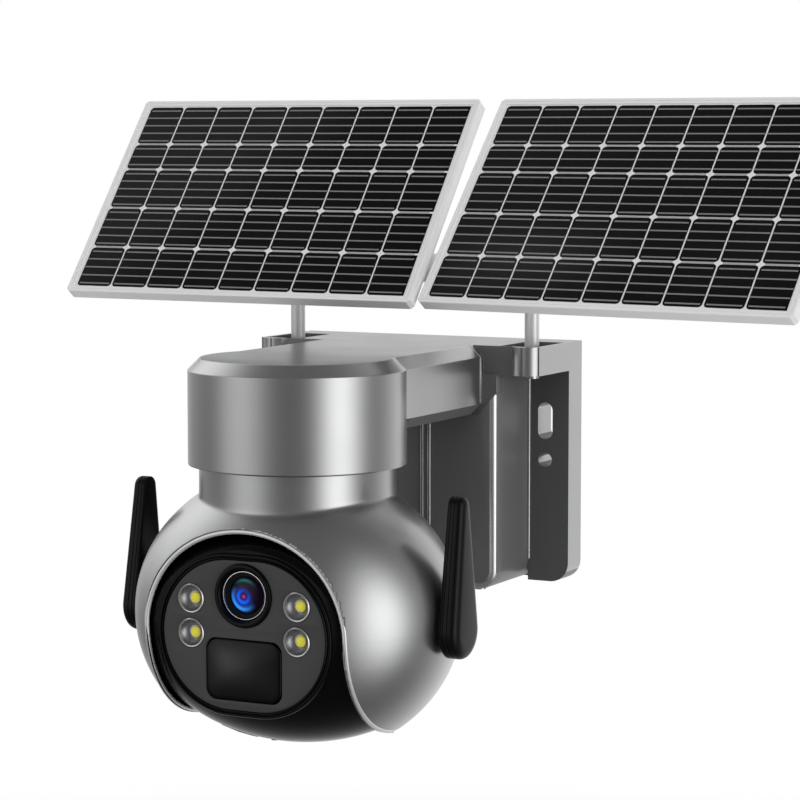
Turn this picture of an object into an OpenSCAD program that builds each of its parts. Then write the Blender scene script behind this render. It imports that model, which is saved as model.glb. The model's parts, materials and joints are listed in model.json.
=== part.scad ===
// Solar-powered pan and tilt security camera on a wall bracket, millimetres.
// Origin at the centre of the flat wall face, +Y into the wall, +Z up, the camera looks along -Y.

/* [Wall bracket] */
// Width of the wall plate and of the shelf on top of it
bracket_w = 127.2; // [124:0.2:132]
// Height of the bracket from its bottom edge to its flat top
bracket_h = 99.2; // [98:0.2:104]
// Depth of the two side flanges that take the wall screws
flange_depth = 13.2; // [12:0.2:15]
// Width of the battery box between the flanges
box_w = 91; // [90:0.5:94]
// How far the battery box stands out from the wall, cover included
box_depth = 45; // [44.8:0.1:46]
// Wall thickness of the moulded housings
skin = 2.4; // [2:0.1:2.6]

/* [Arm and drum] */
// Distance from the wall to the pan axis
pan_reach = 127.6; // [126:0.1:130]
// Radius of the big drum over the head
drum_r = 42; // [42:0.1:43]
// Height of the drum from the flat top to its rim
drum_h = 40.9; // [40:0.1:42]
// Width of the arm between the shelf and the drum
arm_w = 78; // [76:0.5:79]
// Size of the bevel round the top of the arm and the drum
bevel = 4.7; // [3:0.1:5]

/* [Head] */
// Height of the tilt axis below the flat top
tilt_drop = 98; // [97:0.1:99]
// Half the width of the outer shell across the cheeks
shell_a = 65; // [64.8:0.1:66]
// Radius of the outer shell at its middle
shell_r = 56.3; // [56:0.1:57]
// Radius of the neck that turns under the drum
neck_r = 37.8; // [37.6:0.1:38]
// Radius of the camera ball at its middle
ball_r = 50.3; // [50:0.1:50.6]
// Width of the camera ball between the cheeks
ball_w = 82.6; // [82:0.1:82.8]
// Distance from the pan axis to the front rim of the shell
face_reach = 43; // [42.8:0.1:43.2]

/* [Camera face] */
// Width of the dark face plate
face_w = 69.4; // [69:0.1:70]
// Height of the dark face plate
face_h = 56.7; // [56:0.1:57]
// Outer radius of the ring round the lens
lens_ring_r = 12; // [11.5:0.1:12.5]
// Radius of each lamp dome
lamp_r = 5.6; // [5:0.1:5.8]
// Sideways distance of the lamps from the middle
lamp_x = 22.6; // [22:0.1:23]
// Width of the motion sensor window
window_w = 31.8; // [30:0.1:33]
// Height of the motion sensor window
window_h = 22.8; // [21:0.1:23]

/* [Antennas] */
// Length from the fold pin to the tip
antenna_len = 50.4; // [46:0.2:52]
// Radius of the wide end round the fold pin
antenna_r = 10.8; // [10:0.1:12]
// Backward lean of the antennas as set
antenna_lean = 1.4; // [0:0.1:5]

/* [Solar panels] */
// Width of one panel
panel_w = 165; // [160:0.5:166]
// Height of one panel along its slope
panel_h = 100.6; // [96:0.2:101]
// Thickness of a panel frame
panel_t = 5.4; // [5:0.1:6]

/* [Hidden] */
$fn = 96;
top_z = bracket_h / 2 + 0.4;
bottom_z = top_z - bracket_h;
shelf_t = 11.6;
shelf_under = top_z - shelf_t;
shelf_depth = 43.2;
plate_t = 3;
box_front = box_depth - 6;
arm_bottom = top_z - 28;
arm_side_bottom = arm_bottom + 4.5;
drum_bottom = top_z - drum_h;
bottom_corner_r = 8;
ear_r = 6.3;
cover_screw = [34, -35];
base_screw = [arm_w / 2 - 7.8, -box_depth - 12];
screw_len = 9;
slot_x = 53.1;
slot_z = 17.3;
cell_r = 9.2;
cover_step = [box_w / 2 - arm_w / 2 + 1.5, 9];
inlet_x = 24;
inlet_y = -24;
inlet_r = 5.45;
slot_w = 6.4;
slot_len = 15;
hole_z = 1.1;
hole_r = 2.95;

pan_y = -pan_reach;
tilt_z = top_z - tilt_drop;
run_gap = 0.05;
joint_gap = 0.4;

spindle_r = 14;
bush_r = 17;
pan_gear_teeth = 48;
pan_pinion_teeth = 13;
pan_module = 1;
pan_gear_z = drum_bottom + 10;
pan_gear_t = 4;
pan_centre = pan_module * (pan_gear_teeth + pan_pinion_teeth) / 2;
pan_motor_r = 14;
pan_motor_offset = 8;
motor_z = pan_gear_z + 8;
ear_spread = 17.5;
pan_motor_h = 17;

shell_t = 2;
ball_a = 68;
ball_t = 2;
ball_x = ball_w / 2;
cheek_x = 41.9;
cheek_t = 1.6;
cheek_r = 38.4;
shell_bands = 24;
skirt_z = tilt_z - 12;
shaft_r = 5;
tilt_gear_teeth = 24;
tilt_pinion_teeth = 12;
tilt_module = 0.8;
tilt_gear_x = 45.7;
tilt_gear_t = 2.9;
tilt_centre = tilt_module * (tilt_gear_teeth + tilt_pinion_teeth) / 2;
tilt_motor_x = 49.6;
tilt_motor_r = 7.5;

face_z = tilt_z - 3.35;
rim_y = pan_y - face_reach;
bezel_y = rim_y + 0.4;
plate_y = rim_y + 0.8;
bezel_grow = 2.5;
lens_z = face_z + 15.2;
lamp_z = [face_z + 12.7, face_z - 0.4];
window_z = face_z - 13.1;
board_y = plate_y + 4.6;
flap_x = -19;
flap_y = pan_y - 11;
flap_size = [14, 9];
flap_drop = 48.22;
flap_slope = 102.04;
button_x = -4;
button_r = 1.7;

hub_y = pan_y - 1.5;
hub_z = tilt_z - 2;
hub_inner = 60.4;
blade_inner = 65.9;
blade_t = 7.6;
blade_tip_r = 4;
pin_r = 3;

pocket = [16, 28, 9];
pocket_x = 54;
pocket_y = -29;
post_r = 3;
rail_r = 6;
rail_z = top_z + 30;
rail_x = [-77, 124];
hub_plate_z = rail_z + 9;
hub_plate_t = 5;
pivot_z = rail_z + 20;
left_pivot = [-55.9, -36.1, pivot_z];
right_pivot = [114, -48.2, pivot_z];
left_aim = [-2.4, 52.5];
right_aim = [-8.4, 52.5];
stem_r = 4;
ear_in = 9.1;
hinge_pin_r = 2.5;
panel_offset = 15;

// ---------------------------------------------------------------- shared shapes

// Extrudes an outline drawn in X and Z from one distance off the wall to another
module off_wall(near, far) {
    translate([0, -near, 0]) rotate([90, 0, 0]) linear_extrude(far - near) children();
}

// A rectangle from x0 to x1 whose two bottom corners are rounded
module rounded_bottom(half_w, low, high, r) {
    translate([-half_w, low + r]) square([2 * half_w, high - low - r]);
    translate([-half_w + r, low]) square([2 * (half_w - r), r + 1]);
    for (s = [-1, 1]) translate([s * (half_w - r), low + r]) circle(r);
}

// A rectangle with four round corners, centred
module rounded_box(w, h, r) {
    square([w - 2 * r, h], center = true);
    square([w, h - 2 * r], center = true);
    for (sx = [-1, 1], sy = [-1, 1]) translate([sx * (w / 2 - r), sy * (h / 2 - r)]) circle(r);
}

// A rectangle with fully round ends
module stadium(w, h) {
    square([w - h, h], center = true);
    for (s = [-1, 1]) translate([s * (w - h) / 2, 0]) circle(h / 2);
}

// Face shapes: an outline at a height on the camera face, between two distances from the pan axis
module on_face(z, back, front) {
    translate([0, back, z]) rotate([90, 0, 0]) linear_extrude(back - front) children();
}

// A spheroid about the tilt axis, half width a and radius r
module spheroid(a, r) {
    translate([0, pan_y, tilt_z]) rotate([0, 90, 0]) rotate_extrude()
        polygon([for (i = [0:shell_bands]) let (t = -90 + 180 * i / shell_bands)
            [r * cos(t), a * sin(t)]]);
}

// A cylinder along X on the tilt axis
module tilt_cylinder(r, x0, x1) {
    translate([x0, pan_y, tilt_z]) rotate([0, 90, 0]) cylinder(r = r, h = x1 - x0);
}

module along_x(y, z, r, x0, x1) {
    translate([x0, y, z]) rotate([0, 90, 0]) cylinder(r = r, h = x1 - x0);
}

function polar(r, a) = [r * cos(a), r * sin(a)];
function gear_outline(n, m) = [for (i = [0:n - 1]) let (p = 360 / n, a = i * p,
    root = m * n / 2 - 1.2 * m, tip = m * n / 2 + 0.85 * m)
    each [polar(root, a - 0.29 * p), polar(tip, a - 0.1 * p),
          polar(tip, a + 0.1 * p), polar(root, a + 0.29 * p)]];

module pan_ring(r_out, r_in, z0, z1) {
    translate([0, pan_y, z0]) difference() {
        cylinder(r = r_out, h = z1 - z0);
        translate([0, 0, -1]) cylinder(r = r_in, h = z1 - z0 + 2);
    }
}

// ---------------------------------------------------------------- wall bracket

module wall_plate() color("#8a8c8e") difference() {
    off_wall(0, flange_depth) rounded_bottom(bracket_w / 2, bottom_z, shelf_under, bottom_corner_r);
    off_wall(plate_t, flange_depth + 1) translate([-box_w / 2, bottom_z - 1]) square([box_w, bracket_h]);
    for (s = [-1, 1]) {
        off_wall(-1, flange_depth + 1) translate([s * slot_x, slot_z])
            rotate(90) stadium(slot_len, slot_w);
        translate([s * slot_x, 1, hole_z]) rotate([90, 0, 0]) cylinder(r = hole_r, h = flange_depth + 2);
    }
}

module battery_box() color("#6f7173") difference() {
    off_wall(plate_t, box_front) rounded_bottom(box_w / 2, bottom_z, shelf_under, bottom_corner_r);
    off_wall(plate_t - 1, box_front + 1)
        rounded_bottom(box_w / 2 - skin, bottom_z + skin, shelf_under - skin, bottom_corner_r - skin);
    for (s = [-1, 1]) {
        translate([s * inlet_x, inlet_y, bottom_z - 1]) cylinder(r = inlet_r, h = skin + 2);
        translate([s * cover_screw[0], cover_screw[1], bottom_z - 1]) cylinder(r = 1.6, h = skin + 2);
    }
}

module cover_outline(inset) {
    difference() {
        rounded_bottom(box_w / 2 - inset, bottom_z + inset, arm_bottom + cover_step[1] - inset,
            bottom_corner_r - inset);
        polygon([[-box_w / 2 + cover_step[0], arm_bottom - inset],
            [box_w / 2 - cover_step[0], arm_bottom - inset],
            [box_w / 2 + 1, arm_bottom + cover_step[1] + 1.2 - inset],
            [-box_w / 2 - 1, arm_bottom + cover_step[1] + 1.2 - inset]]);
    }
}

module battery_cover() color("#5a5c5e") {
    difference() {
        off_wall(box_front, box_depth) cover_outline(0);
        off_wall(box_front - 1, box_depth - skin) cover_outline(3.4);
    }
    // tabs inside the box that take the screws from below
    for (s = [-1, 1]) difference() {
        translate([s * cover_screw[0] - 4, -box_front - 3.6, bottom_z + skin + 0.1]) cube([8, 12, 7]);
        translate([s * cover_screw[0], cover_screw[1], bottom_z]) cylinder(r = 1.4, h = 20);
    }
    for (x = [-15.6, -12.4, 12.4, 15.6]) off_wall(box_depth, box_depth + 0.6)
        translate([x - 0.4, bottom_z + 5]) square([0.8, arm_bottom - bottom_z - 9]);
}

// Pan-head screws from below, two for the battery cover and two for the arm's base cover
module case_screws() color("#3a3b3c") {
    for (s = [-1, 1]) {
        translate([s * cover_screw[0], cover_screw[1], bottom_z]) case_screw();
        translate([s * base_screw[0], base_screw[1], arm_bottom + 1.5]) case_screw();
    }
}

module case_screw() {
    difference() {
        translate([0, 0, -1.4]) cylinder(r = 2.5, h = 1.4);
        translate([0, 0, -2]) cylinder(r = 1.2, h = 1.4, $fn = 6);
    }
    cylinder(r = 1.4, h = screw_len);
}

// Arm section across X and Z, with the bevel along both top edges
function arm_section(w, low, high, b) = [[-w, low], [w, low], [w, high - b], [w - b, high],
    [b - w, high], [-w, high - b]];

module arm_solid() {
    half = arm_w / 2;
    off_wall(0, shelf_depth) translate([-bracket_w / 2, shelf_under]) square([bracket_w, shelf_t]);
    for (s = [-1, 1]) translate([s * (bracket_w / 2 - ear_r), -shelf_depth + 3, shelf_under])
        cylinder(r = ear_r, h = shelf_t);
    off_wall(box_front, box_depth - 0.3) translate([-box_w / 2, arm_bottom])
        square([box_w, shelf_under - arm_bottom]);
    off_wall(shelf_depth - 1, pan_reach) polygon(arm_section(half, arm_side_bottom, top_z, bevel));
    translate([0, pan_y, drum_bottom]) cylinder(r = drum_r, h = drum_h - bevel);
    translate([0, pan_y, top_z - bevel]) cylinder(r1 = drum_r, r2 = drum_r - bevel, h = bevel);
}

module arm_housing() color("#a3a5a7") {
    arm_moulding();
    // bosses for the base cover's screws
    for (s = [-1, 1]) translate([s * base_screw[0], base_screw[1], arm_side_bottom]) difference() {
        cylinder(r = 3.2, h = top_z - bevel - arm_side_bottom + 0.5);
        translate([0, 0, -1]) cylinder(r = 1.4, h = screw_len);
    }
}

module arm_moulding() difference() {
    arm_solid();
    // inside of the drum, the arm and the root block
    translate([0, pan_y, drum_bottom - 1]) cylinder(r = drum_r - skin, h = drum_h + 1 - bevel);
    off_wall(box_front + 1.5, pan_reach)
        translate([skin - arm_w / 2, arm_side_bottom - 1])
        square([arm_w - 2 * skin, top_z - bevel - arm_side_bottom + 1]);
    off_wall(6, box_front + 2) translate([-box_w / 2 + 12, shelf_under - 1])
        square([box_w - 24, shelf_t + 1 - skin]);
    // the battery cover tucks in below the root block
    off_wall(box_front - 1, box_depth + 1) cover_outline(-0.1);
    // room for the arm's base cover
    off_wall(box_depth - 0.4, pan_reach - 30) translate([-arm_w / 2 + skin, arm_bottom - 1])
        square([arm_w - 2 * skin, arm_side_bottom - arm_bottom + 1]);
    for (s = [-1, 1]) {
        // socket in the top of each ear
        translate([s * pocket_x - pocket[0] / 2, pocket_y - pocket[1] / 2, top_z - pocket[2]])
            cube([pocket[0], pocket[1], pocket[2] + 1]);
        translate([s * pocket_x, pocket_y, shelf_under - 1]) cylinder(r = 1.7, h = shelf_t);
    }
}

module arm_base_cover() color("#4b4d4f") {
    half = arm_w / 2;
    difference() {
        off_wall(box_depth + 0.1, pan_reach - 20) polygon([[-half, arm_side_bottom],
            [-half + 4.5, arm_bottom], [half - 4.5, arm_bottom], [half, arm_side_bottom]]);
        off_wall(box_depth + 4, pan_reach - 15) translate([-half + 8, arm_bottom + skin])
            square([arm_w - 16, 10]);
        translate([0, pan_y, 0]) cylinder(r = drum_r + 0.05, h = top_z);
        for (s = [-1, 1]) translate([s * base_screw[0], base_screw[1], arm_bottom - 1])
            cylinder(r = 1.6, h = 8);
        for (s = [-1, 1]) translate([s * base_screw[0], base_screw[1], arm_bottom - 1])
            cylinder(r = 2.8, h = 2.6);
    }
}

module drum_base() color("#77797b") {
    pan_ring(drum_r - skin - run_gap, bush_r, drum_bottom, drum_bottom + 3);
    for (s = [-1, 1]) translate([s * ear_spread, pan_y + pan_centre - pan_motor_offset, drum_bottom + 3])
        cylinder(r = 2.8, h = motor_z - drum_bottom - 3);
}

module pan_bearing() color("#e8e4d8") {
    pan_ring(bush_r, spindle_r + run_gap, drum_bottom, drum_bottom + 3);
    pan_ring(bush_r + 3, spindle_r + run_gap, drum_bottom + 3, drum_bottom + 5);
}

module pan_motor() color("#c0c2c4") {
    body_y = pan_y + pan_centre - pan_motor_offset;
    difference() {
        union() {
            translate([0, body_y, motor_z]) cylinder(r = pan_motor_r, h = pan_motor_h);
            translate([0, body_y, motor_z]) linear_extrude(0.8) stadium(2 * ear_spread + 7, 7);
        }
        translate([0, pan_y + pan_centre, motor_z - 1]) cylinder(r = 2.5 + run_gap, h = 6);
    }
}

module battery_cells() color("#3f7fbf") for (i = [-1.5:1:1.5])
    translate([i * (2 * cell_r + 1), -plate_t - 3 - cell_r, bottom_z + 12]) {
        cylinder(r = cell_r, h = 64);
        translate([0, 0, 64]) cylinder(r = 3.6, h = 1);
    }

module charge_board() color("#1f6b3a") {
    off_wall(box_front - 9, box_front - 7.4) translate([-34, bottom_z + 14]) square([68, 56]);
    for (x = [-22, -4, 16]) off_wall(box_front - 7.4, box_front - 4.4)
        translate([x, bottom_z + 26]) square([11, 9]);
    off_wall(box_front - 7.4, box_front - 1.4) translate([-30, bottom_z + 50]) square([12, 8]);
}

module charge_inlet() color("#202122") for (s = [-1, 1]) translate([s * inlet_x, inlet_y, bottom_z])
    difference() {
        union() {
            translate([0, 0, -1.2]) cylinder(r = 7, h = 1.2);
            cylinder(r = inlet_r, h = 10);
        }
        translate([0, 0, -2]) cylinder(r = 3, h = 9);
    }

// ---------------------------------------------------------------- panel support

module support_posts() color("#d7d9da") for (s = [-1, 1]) difference() {
    union() {
        translate([s * pocket_x, pocket_y, top_z - pocket[2]])
            cylinder(r = post_r, h = rail_z - top_z + pocket[2] - 4);
        along_x(pocket_y, rail_z, rail_r + 2.5, s * pocket_x - 5, s * pocket_x + 5);
    }
    along_x(pocket_y, rail_z, rail_r, s * pocket_x - 8, s * pocket_x + 8);
    translate([s * pocket_x, pocket_y, shelf_under - 1]) cylinder(r = 1.5, h = 12);
}

module post_screws() color("#8f9193") for (s = [-1, 1]) translate([s * pocket_x, pocket_y, 0]) {
    translate([0, 0, shelf_under - 2.2]) cylinder(r = 3, h = 2.2);
    translate([0, 0, shelf_under]) cylinder(r = 1.5, h = 11);
}

module cross_rail() color("#d7d9da") difference() {
    along_x(pocket_y, rail_z, rail_r, rail_x[0], rail_x[1]);
    along_x(pocket_y, rail_z, rail_r - 1.2, rail_x[0] - 1, rail_x[1] + 1);
}

module rail_caps() color("#2a2b2c") {
    along_x(pocket_y, rail_z, rail_r, rail_x[0] - 2, rail_x[0]);
    along_x(pocket_y, rail_z, rail_r - 1.2, rail_x[0], rail_x[0] + 6);
    along_x(pocket_y, rail_z, rail_r, rail_x[1], rail_x[1] + 2);
    along_x(pocket_y, rail_z, rail_r - 1.2, rail_x[1] - 6, rail_x[1]);
}

// Clamp on the rail from x0 to x0 + 14, with a plate that reaches over to the swivel bore
module rail_hub(x0, pivot) difference() {
    reach_x = [min(x0, pivot[0] - 7), max(x0 + 14, pivot[0] + 7)];
    union() {
        along_x(pocket_y, rail_z, rail_r + 3, x0, x0 + 14);
        translate([x0, pocket_y - 6, rail_z]) cube([14, 12, 9]);
        translate([reach_x[0], pivot[1], hub_plate_z])
            cube([reach_x[1] - reach_x[0], pocket_y + 6 - pivot[1], hub_plate_t]);
        translate([pivot[0], pivot[1], hub_plate_z]) cylinder(r = 7, h = hub_plate_t);
    }
    along_x(pocket_y, rail_z, rail_r, x0 - 1, x0 + 15);
    translate([pivot[0], pivot[1], hub_plate_z - 1]) cylinder(r = stem_r + run_gap, h = hub_plate_t + 2);
}

module rail_hubs() color("#c9cbcc") {
    rail_hub(rail_x[0] + 2, left_pivot);
    rail_hub(right_pivot[0] - 7, right_pivot);
}

// Moves a shape drawn about the tilt pin (u, slope, normal) to its pivot and aim
module aim_panel(pivot, aim) {
    translate(pivot) rotate([0, 0, aim[0]]) rotate([aim[1], 0, 0]) children();
}

module swivel(pivot, yaw) difference() {
    union() {
        translate([pivot[0], pivot[1], hub_plate_z]) cylinder(r = stem_r, h = hub_plate_t + 0.3);
        translate([pivot[0], pivot[1], hub_plate_z + hub_plate_t + 0.3]) cylinder(r = 7, h = 3);
        translate(pivot) rotate([0, 0, yaw]) {
            translate([-8.8, -5, -6]) cube([17.6, 10, 6]);
            rotate([0, 90, 0]) translate([0, 0, -8.8]) cylinder(r = 5.8, h = 17.6);
        }
    }
    translate(pivot) rotate([0, 0, yaw]) rotate([0, 90, 0]) translate([0, 0, -12])
        cylinder(r = hinge_pin_r + run_gap, h = 24);
}

module left_swivel() color("#55575a") swivel(left_pivot, left_aim[0]);
module right_swivel() color("#55575a") swivel(right_pivot, right_aim[0]);

module panel_frame() difference() {
    translate([-panel_w / 2, -panel_h / 2, panel_offset - panel_t]) cube([panel_w, panel_h, panel_t]);
    translate([4 - panel_w / 2, 4 - panel_h / 2, panel_offset - panel_t + 1.6])
        cube([panel_w - 8, panel_h - 8, panel_t]);
}

module cell_sheet() translate([4 - panel_w / 2, 4 - panel_h / 2, panel_offset - panel_t + 1.6])
    cube([panel_w - 8, panel_h - 8, panel_t - 2.2]);

// Hinge bracket with its pin and thumb knob
module panel_bracket() {
    translate([-20, -15, panel_offset - panel_t - 2]) cube([40, 30, 2]);
    for (s = [-1, 1]) translate([s > 0 ? ear_in : -ear_in - 3, 0, 0]) difference() {
        union() {
            rotate([0, 90, 0]) cylinder(r = 6, h = 3);
            translate([0, -6, 0]) cube([3, 12, panel_offset - panel_t - 2]);
        }
    }
    translate([-14, 0, 0]) rotate([0, 90, 0]) cylinder(r = hinge_pin_r, h = 27);
    translate([ear_in + 3, 0, 0]) rotate([0, 90, 0]) cylinder(r = 6.6, h = 7, $fn = 12);
}

module panel_box() {
    translate([-22, 17, 1]) cube([44, 24, panel_offset - panel_t - 1]);
    translate([22, 29, 5]) rotate([0, 90, 0]) cylinder(r = 3.4, h = 7);
}

module left_panel_frame() color("#e6e8e9") aim_panel(left_pivot, left_aim) panel_frame();
module right_panel_frame() color("#e6e8e9") aim_panel(right_pivot, right_aim) panel_frame();
module left_cell_sheet() color("#15171a") aim_panel(left_pivot, left_aim) cell_sheet();
module right_cell_sheet() color("#15171a") aim_panel(right_pivot, right_aim) cell_sheet();
module left_bracket() color("#c9cbcc") aim_panel(left_pivot, left_aim) panel_bracket();
module right_bracket() color("#c9cbcc") aim_panel(right_pivot, right_aim) panel_bracket();
module right_box() color("#1b1c1d") aim_panel(right_pivot, right_aim) panel_box();
module left_box() color("#1b1c1d") aim_panel(left_pivot, left_aim) panel_box();

// ---------------------------------------------------------------- pan drive and yoke

module pan_pinion() color("#f0ede4") translate([0, pan_y + pan_centre, pan_gear_z - 0.4]) {
    rotate(270 + 180 / pan_pinion_teeth) linear_extrude(pan_gear_t + 0.8)
        polygon(gear_outline(pan_pinion_teeth, pan_module));
    translate([0, 0, pan_gear_t + 0.8]) cylinder(r = 2.5, h = motor_z - pan_gear_z);
}

module pan_spindle() color("#8a8c8e") difference() {
    union() {
        pan_ring(neck_r - 2.5, spindle_r - 3.5, drum_bottom - 3.4, drum_bottom - 0.9);
        pan_ring(spindle_r, spindle_r - 3.5, drum_bottom - 3.4, pan_gear_z + pan_gear_t + 3.4);
    }
}

module pan_gear() color("#f0ede4") translate([0, pan_y, pan_gear_z]) difference() {
    linear_extrude(pan_gear_t) polygon(gear_outline(pan_gear_teeth, pan_module));
    translate([0, 0, -1]) cylinder(r = spindle_r, h = pan_gear_t + 2);
}

module pan_collar() color("#c0c2c4") {
    pan_ring(18, spindle_r, pan_gear_z + pan_gear_t, pan_gear_z + pan_gear_t + 3);
    pan_ring(16.5, spindle_r, drum_bottom + 5.1, pan_gear_z);
}

module yoke_shell() color("#9b9da0") difference() {
    union() {
        spheroid(shell_a, shell_r);
        translate([0, pan_y, tilt_z + 20]) cylinder(r = neck_r, h = drum_bottom - joint_gap - tilt_z - 20);
    }
    spheroid(shell_a - shell_t, shell_r - shell_t);
    translate([0, pan_y, tilt_z + 20]) cylinder(r = neck_r - 2.4, h = 60);
    // the front rim, and the open bottom between the cheeks
    translate([-100, rim_y - 50, tilt_z - 80]) cube([200, 50, 160]);
    translate([-cheek_x, pan_y - 20, skirt_z - 60]) cube([2 * cheek_x, 90, 60]);
    translate([-cheek_x, pan_y - 70, tilt_z - 72]) cube([2 * cheek_x, 60, 70]);
    for (s = [-1, 1]) along_x(hub_y, hub_z, 7.6, s > 0 ? 50 : -70, s > 0 ? 70 : -50);
}

module cheek_plates() color("#232425") difference() {
    for (s = [-1, 1]) {
        tilt_cylinder(cheek_r, s > 0 ? cheek_x : -cheek_x - cheek_t, s > 0 ? cheek_x + cheek_t : -cheek_x);
    }
    tilt_cylinder(7, -60, 60);
}

module tilt_bushes() color("#e8e4d8") for (s = [-1, 1]) difference() {
    tilt_cylinder(7, s > 0 ? cheek_x - 0.3 : -cheek_x - cheek_t - 0.3,
        s > 0 ? cheek_x + cheek_t + 0.3 : 0.3 - cheek_x);
    tilt_cylinder(shaft_r + run_gap, -60, 60);
}

module tilt_motor() color("#c0c2c4") difference() {
    union() {
        along_x(pan_y + tilt_centre, tilt_z, tilt_motor_r, tilt_motor_x, tilt_motor_x + 7);
        for (s = [-1, 1]) along_x(pan_y + tilt_centre, tilt_z + s * 10.5, 2.2,
            cheek_x + cheek_t, tilt_motor_x + 1);
        translate([tilt_motor_x, pan_y + tilt_centre - 2.2, tilt_z - 10.5]) cube([1, 4.4, 21]);
    }
    along_x(pan_y + tilt_centre, tilt_z, 1.5 + run_gap, tilt_motor_x - 1, tilt_motor_x + 3);
}

module tilt_pinion() color("#f0ede4") translate([tilt_gear_x, pan_y + tilt_centre, tilt_z])
    rotate([90, 0, 90]) {
        rotate(180 + 180 / tilt_pinion_teeth) linear_extrude(tilt_gear_t)
            polygon(gear_outline(tilt_pinion_teeth, tilt_module));
        translate([0, 0, tilt_gear_t]) cylinder(r = 1.5, h = 3);
    }

module main_board() color("#1f6b3a") difference() {
    union() {
        tilt_cylinder(24, -52, -50.4);
        for (z = [-14, 4]) translate([-50.4, pan_y - 15, tilt_z + z]) cube([2.4, 10, 10]);
        for (a = [45, 135, 225, 315]) translate([-50.4, pan_y + 20 * cos(a), tilt_z + 20 * sin(a)])
            rotate([0, 90, 0]) cylinder(r = 1.8, h = 50.4 - cheek_x - cheek_t);
    }
    tilt_cylinder(6, -60, -40);
}

// Bosses through the shell that carry the antenna pins
module antenna_hubs() color("#1b1c1d") for (s = [-1, 1]) {
    along_x(hub_y, hub_z, 7.5, s > 0 ? hub_inner : -blade_inner + 0.3,
        s > 0 ? blade_inner - 0.3 : -hub_inner);
    along_x(hub_y, hub_z, pin_r, s > 0 ? blade_inner - 0.3 : -blade_inner - blade_t + 2.9,
        s > 0 ? blade_inner + blade_t - 2.9 : -blade_inner + 0.3);
}

// Antenna blade in its own frame: pin along X at the origin, tip up, outer face crowned
module antenna_blade() difference() {
    tip_z = antenna_len - blade_tip_r;
    hull() {
        rotate([0, 90, 0]) cylinder(r = antenna_r, h = blade_t - 2.4, $fn = 40);
        rotate([0, 90, 0]) cylinder(r = antenna_r - 2.6, h = blade_t, $fn = 40);
        translate([0, 0, tip_z]) rotate([0, 90, 0]) cylinder(r = blade_tip_r, h = 4.4, $fn = 32);
        translate([0, 0, tip_z]) rotate([0, 90, 0]) cylinder(r = blade_tip_r - 2, h = 6.4, $fn = 32);
    }
    translate([-1, 0, 0]) rotate([0, 90, 0]) cylinder(r = pin_r + run_gap, h = blade_t - 1.8);
}

module right_antenna() color("#17181a") translate([blade_inner, hub_y, hub_z])
    rotate([-antenna_lean, 0, 0]) antenna_blade();
module left_antenna() color("#17181a") mirror([1, 0, 0]) translate([blade_inner, hub_y, hub_z])
    rotate([-antenna_lean, 0, 0]) antenna_blade();

// ---------------------------------------------------------------- camera module

module bezel_outline(grow) stadium(face_w + 2 * grow, face_h + 2 * grow);

module ball_shell(out) intersection() {
    spheroid(ball_a + out, ball_r + out);
    translate([-ball_x, pan_y - 60, tilt_z - 60]) cube([ball_w, 120, 120]);
}

module ball_inside() intersection() {
    spheroid(ball_a - ball_t, ball_r - ball_t);
    translate([ball_t - ball_x, pan_y - 60, tilt_z - 60]) cube([ball_w - 2 * ball_t, 120, 120]);
}

module ball_front() color("#0d0e0f") difference() {
    union() {
        intersection() {
            ball_shell(0);
            translate([-60, bezel_y + 1.4, tilt_z - 60]) cube([120, pan_y - bezel_y - 1.4, 120]);
        }
        intersection() {
            on_face(face_z, pan_y - 25, bezel_y + 1.4) bezel_outline(bezel_grow);
            translate([-60, -200, tilt_z - 60]) cube([120, 120, 120]);
        }
    }
    intersection() {
        ball_inside();
        translate([-60, pan_y - 39, tilt_z - 60]) cube([120, 60, 120]);
    }
    on_face(face_z, pan_y - 10, rim_y - 1) bezel_outline(0.6);
    tilt_cylinder(shaft_r, -60, 60);
    flap_block(0.2, 0.4, 0.15);
    translate([button_x, flap_y, tilt_z - 60]) cylinder(r = button_r + 0.15, h = 20);
    flap_barrel(0.85, 9.6);
}

module ball_rear() color("#0d0e0f") difference() {
    intersection() {
        ball_shell(0);
        translate([-60, pan_y, tilt_z - 60]) cube([120, 120, 120]);
    }
    ball_inside();
    tilt_cylinder(shaft_r, -60, 60);
}

module tilt_shafts() color("#8f9193") for (s = [-1, 1]) difference() {
    union() {
        tilt_cylinder(shaft_r, s > 0 ? ball_x - ball_t - 2 : -52, s > 0 ? 52 : 2 + ball_t - ball_x);
        tilt_cylinder(9, s > 0 ? ball_x - ball_t - 2 : ball_t - ball_x,
            s > 0 ? ball_x - ball_t : 2 + ball_t - ball_x);
    }
    tilt_cylinder(3, -60, 60);
}

module tilt_gear() color("#f0ede4") translate([tilt_gear_x, pan_y, tilt_z]) rotate([90, 0, 90])
    difference() {
        linear_extrude(tilt_gear_t) polygon(gear_outline(tilt_gear_teeth, tilt_module));
        translate([0, 0, -1]) cylinder(r = shaft_r, h = tilt_gear_t + 2);
    }

module bezel_ring() color("#0b0c0d") difference() {
    union() {
        on_face(face_z, bezel_y + 1.4, bezel_y) bezel_outline(bezel_grow);
        on_face(face_z, plate_y + 4.2, bezel_y + 1.4) bezel_outline(0.5);
    }
    on_face(face_z, plate_y + 5, rim_y - 1) bezel_outline(0.05);
}

module face_plate() color("#3a3b3d") difference() {
    on_face(face_z, plate_y + 2, plate_y) bezel_outline(0);
    translate([0, plate_y + 5, lens_z]) rotate([90, 0, 0]) cylinder(r = lens_ring_r, h = 10);
    for (s = [-1, 1], z = lamp_z) translate([s * lamp_x, plate_y + 5, z]) rotate([90, 0, 0])
        cylinder(r = lamp_r, h = 10);
    on_face(window_z, plate_y + 5, plate_y - 5) rounded_box(window_w, window_h, 4);
}

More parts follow.
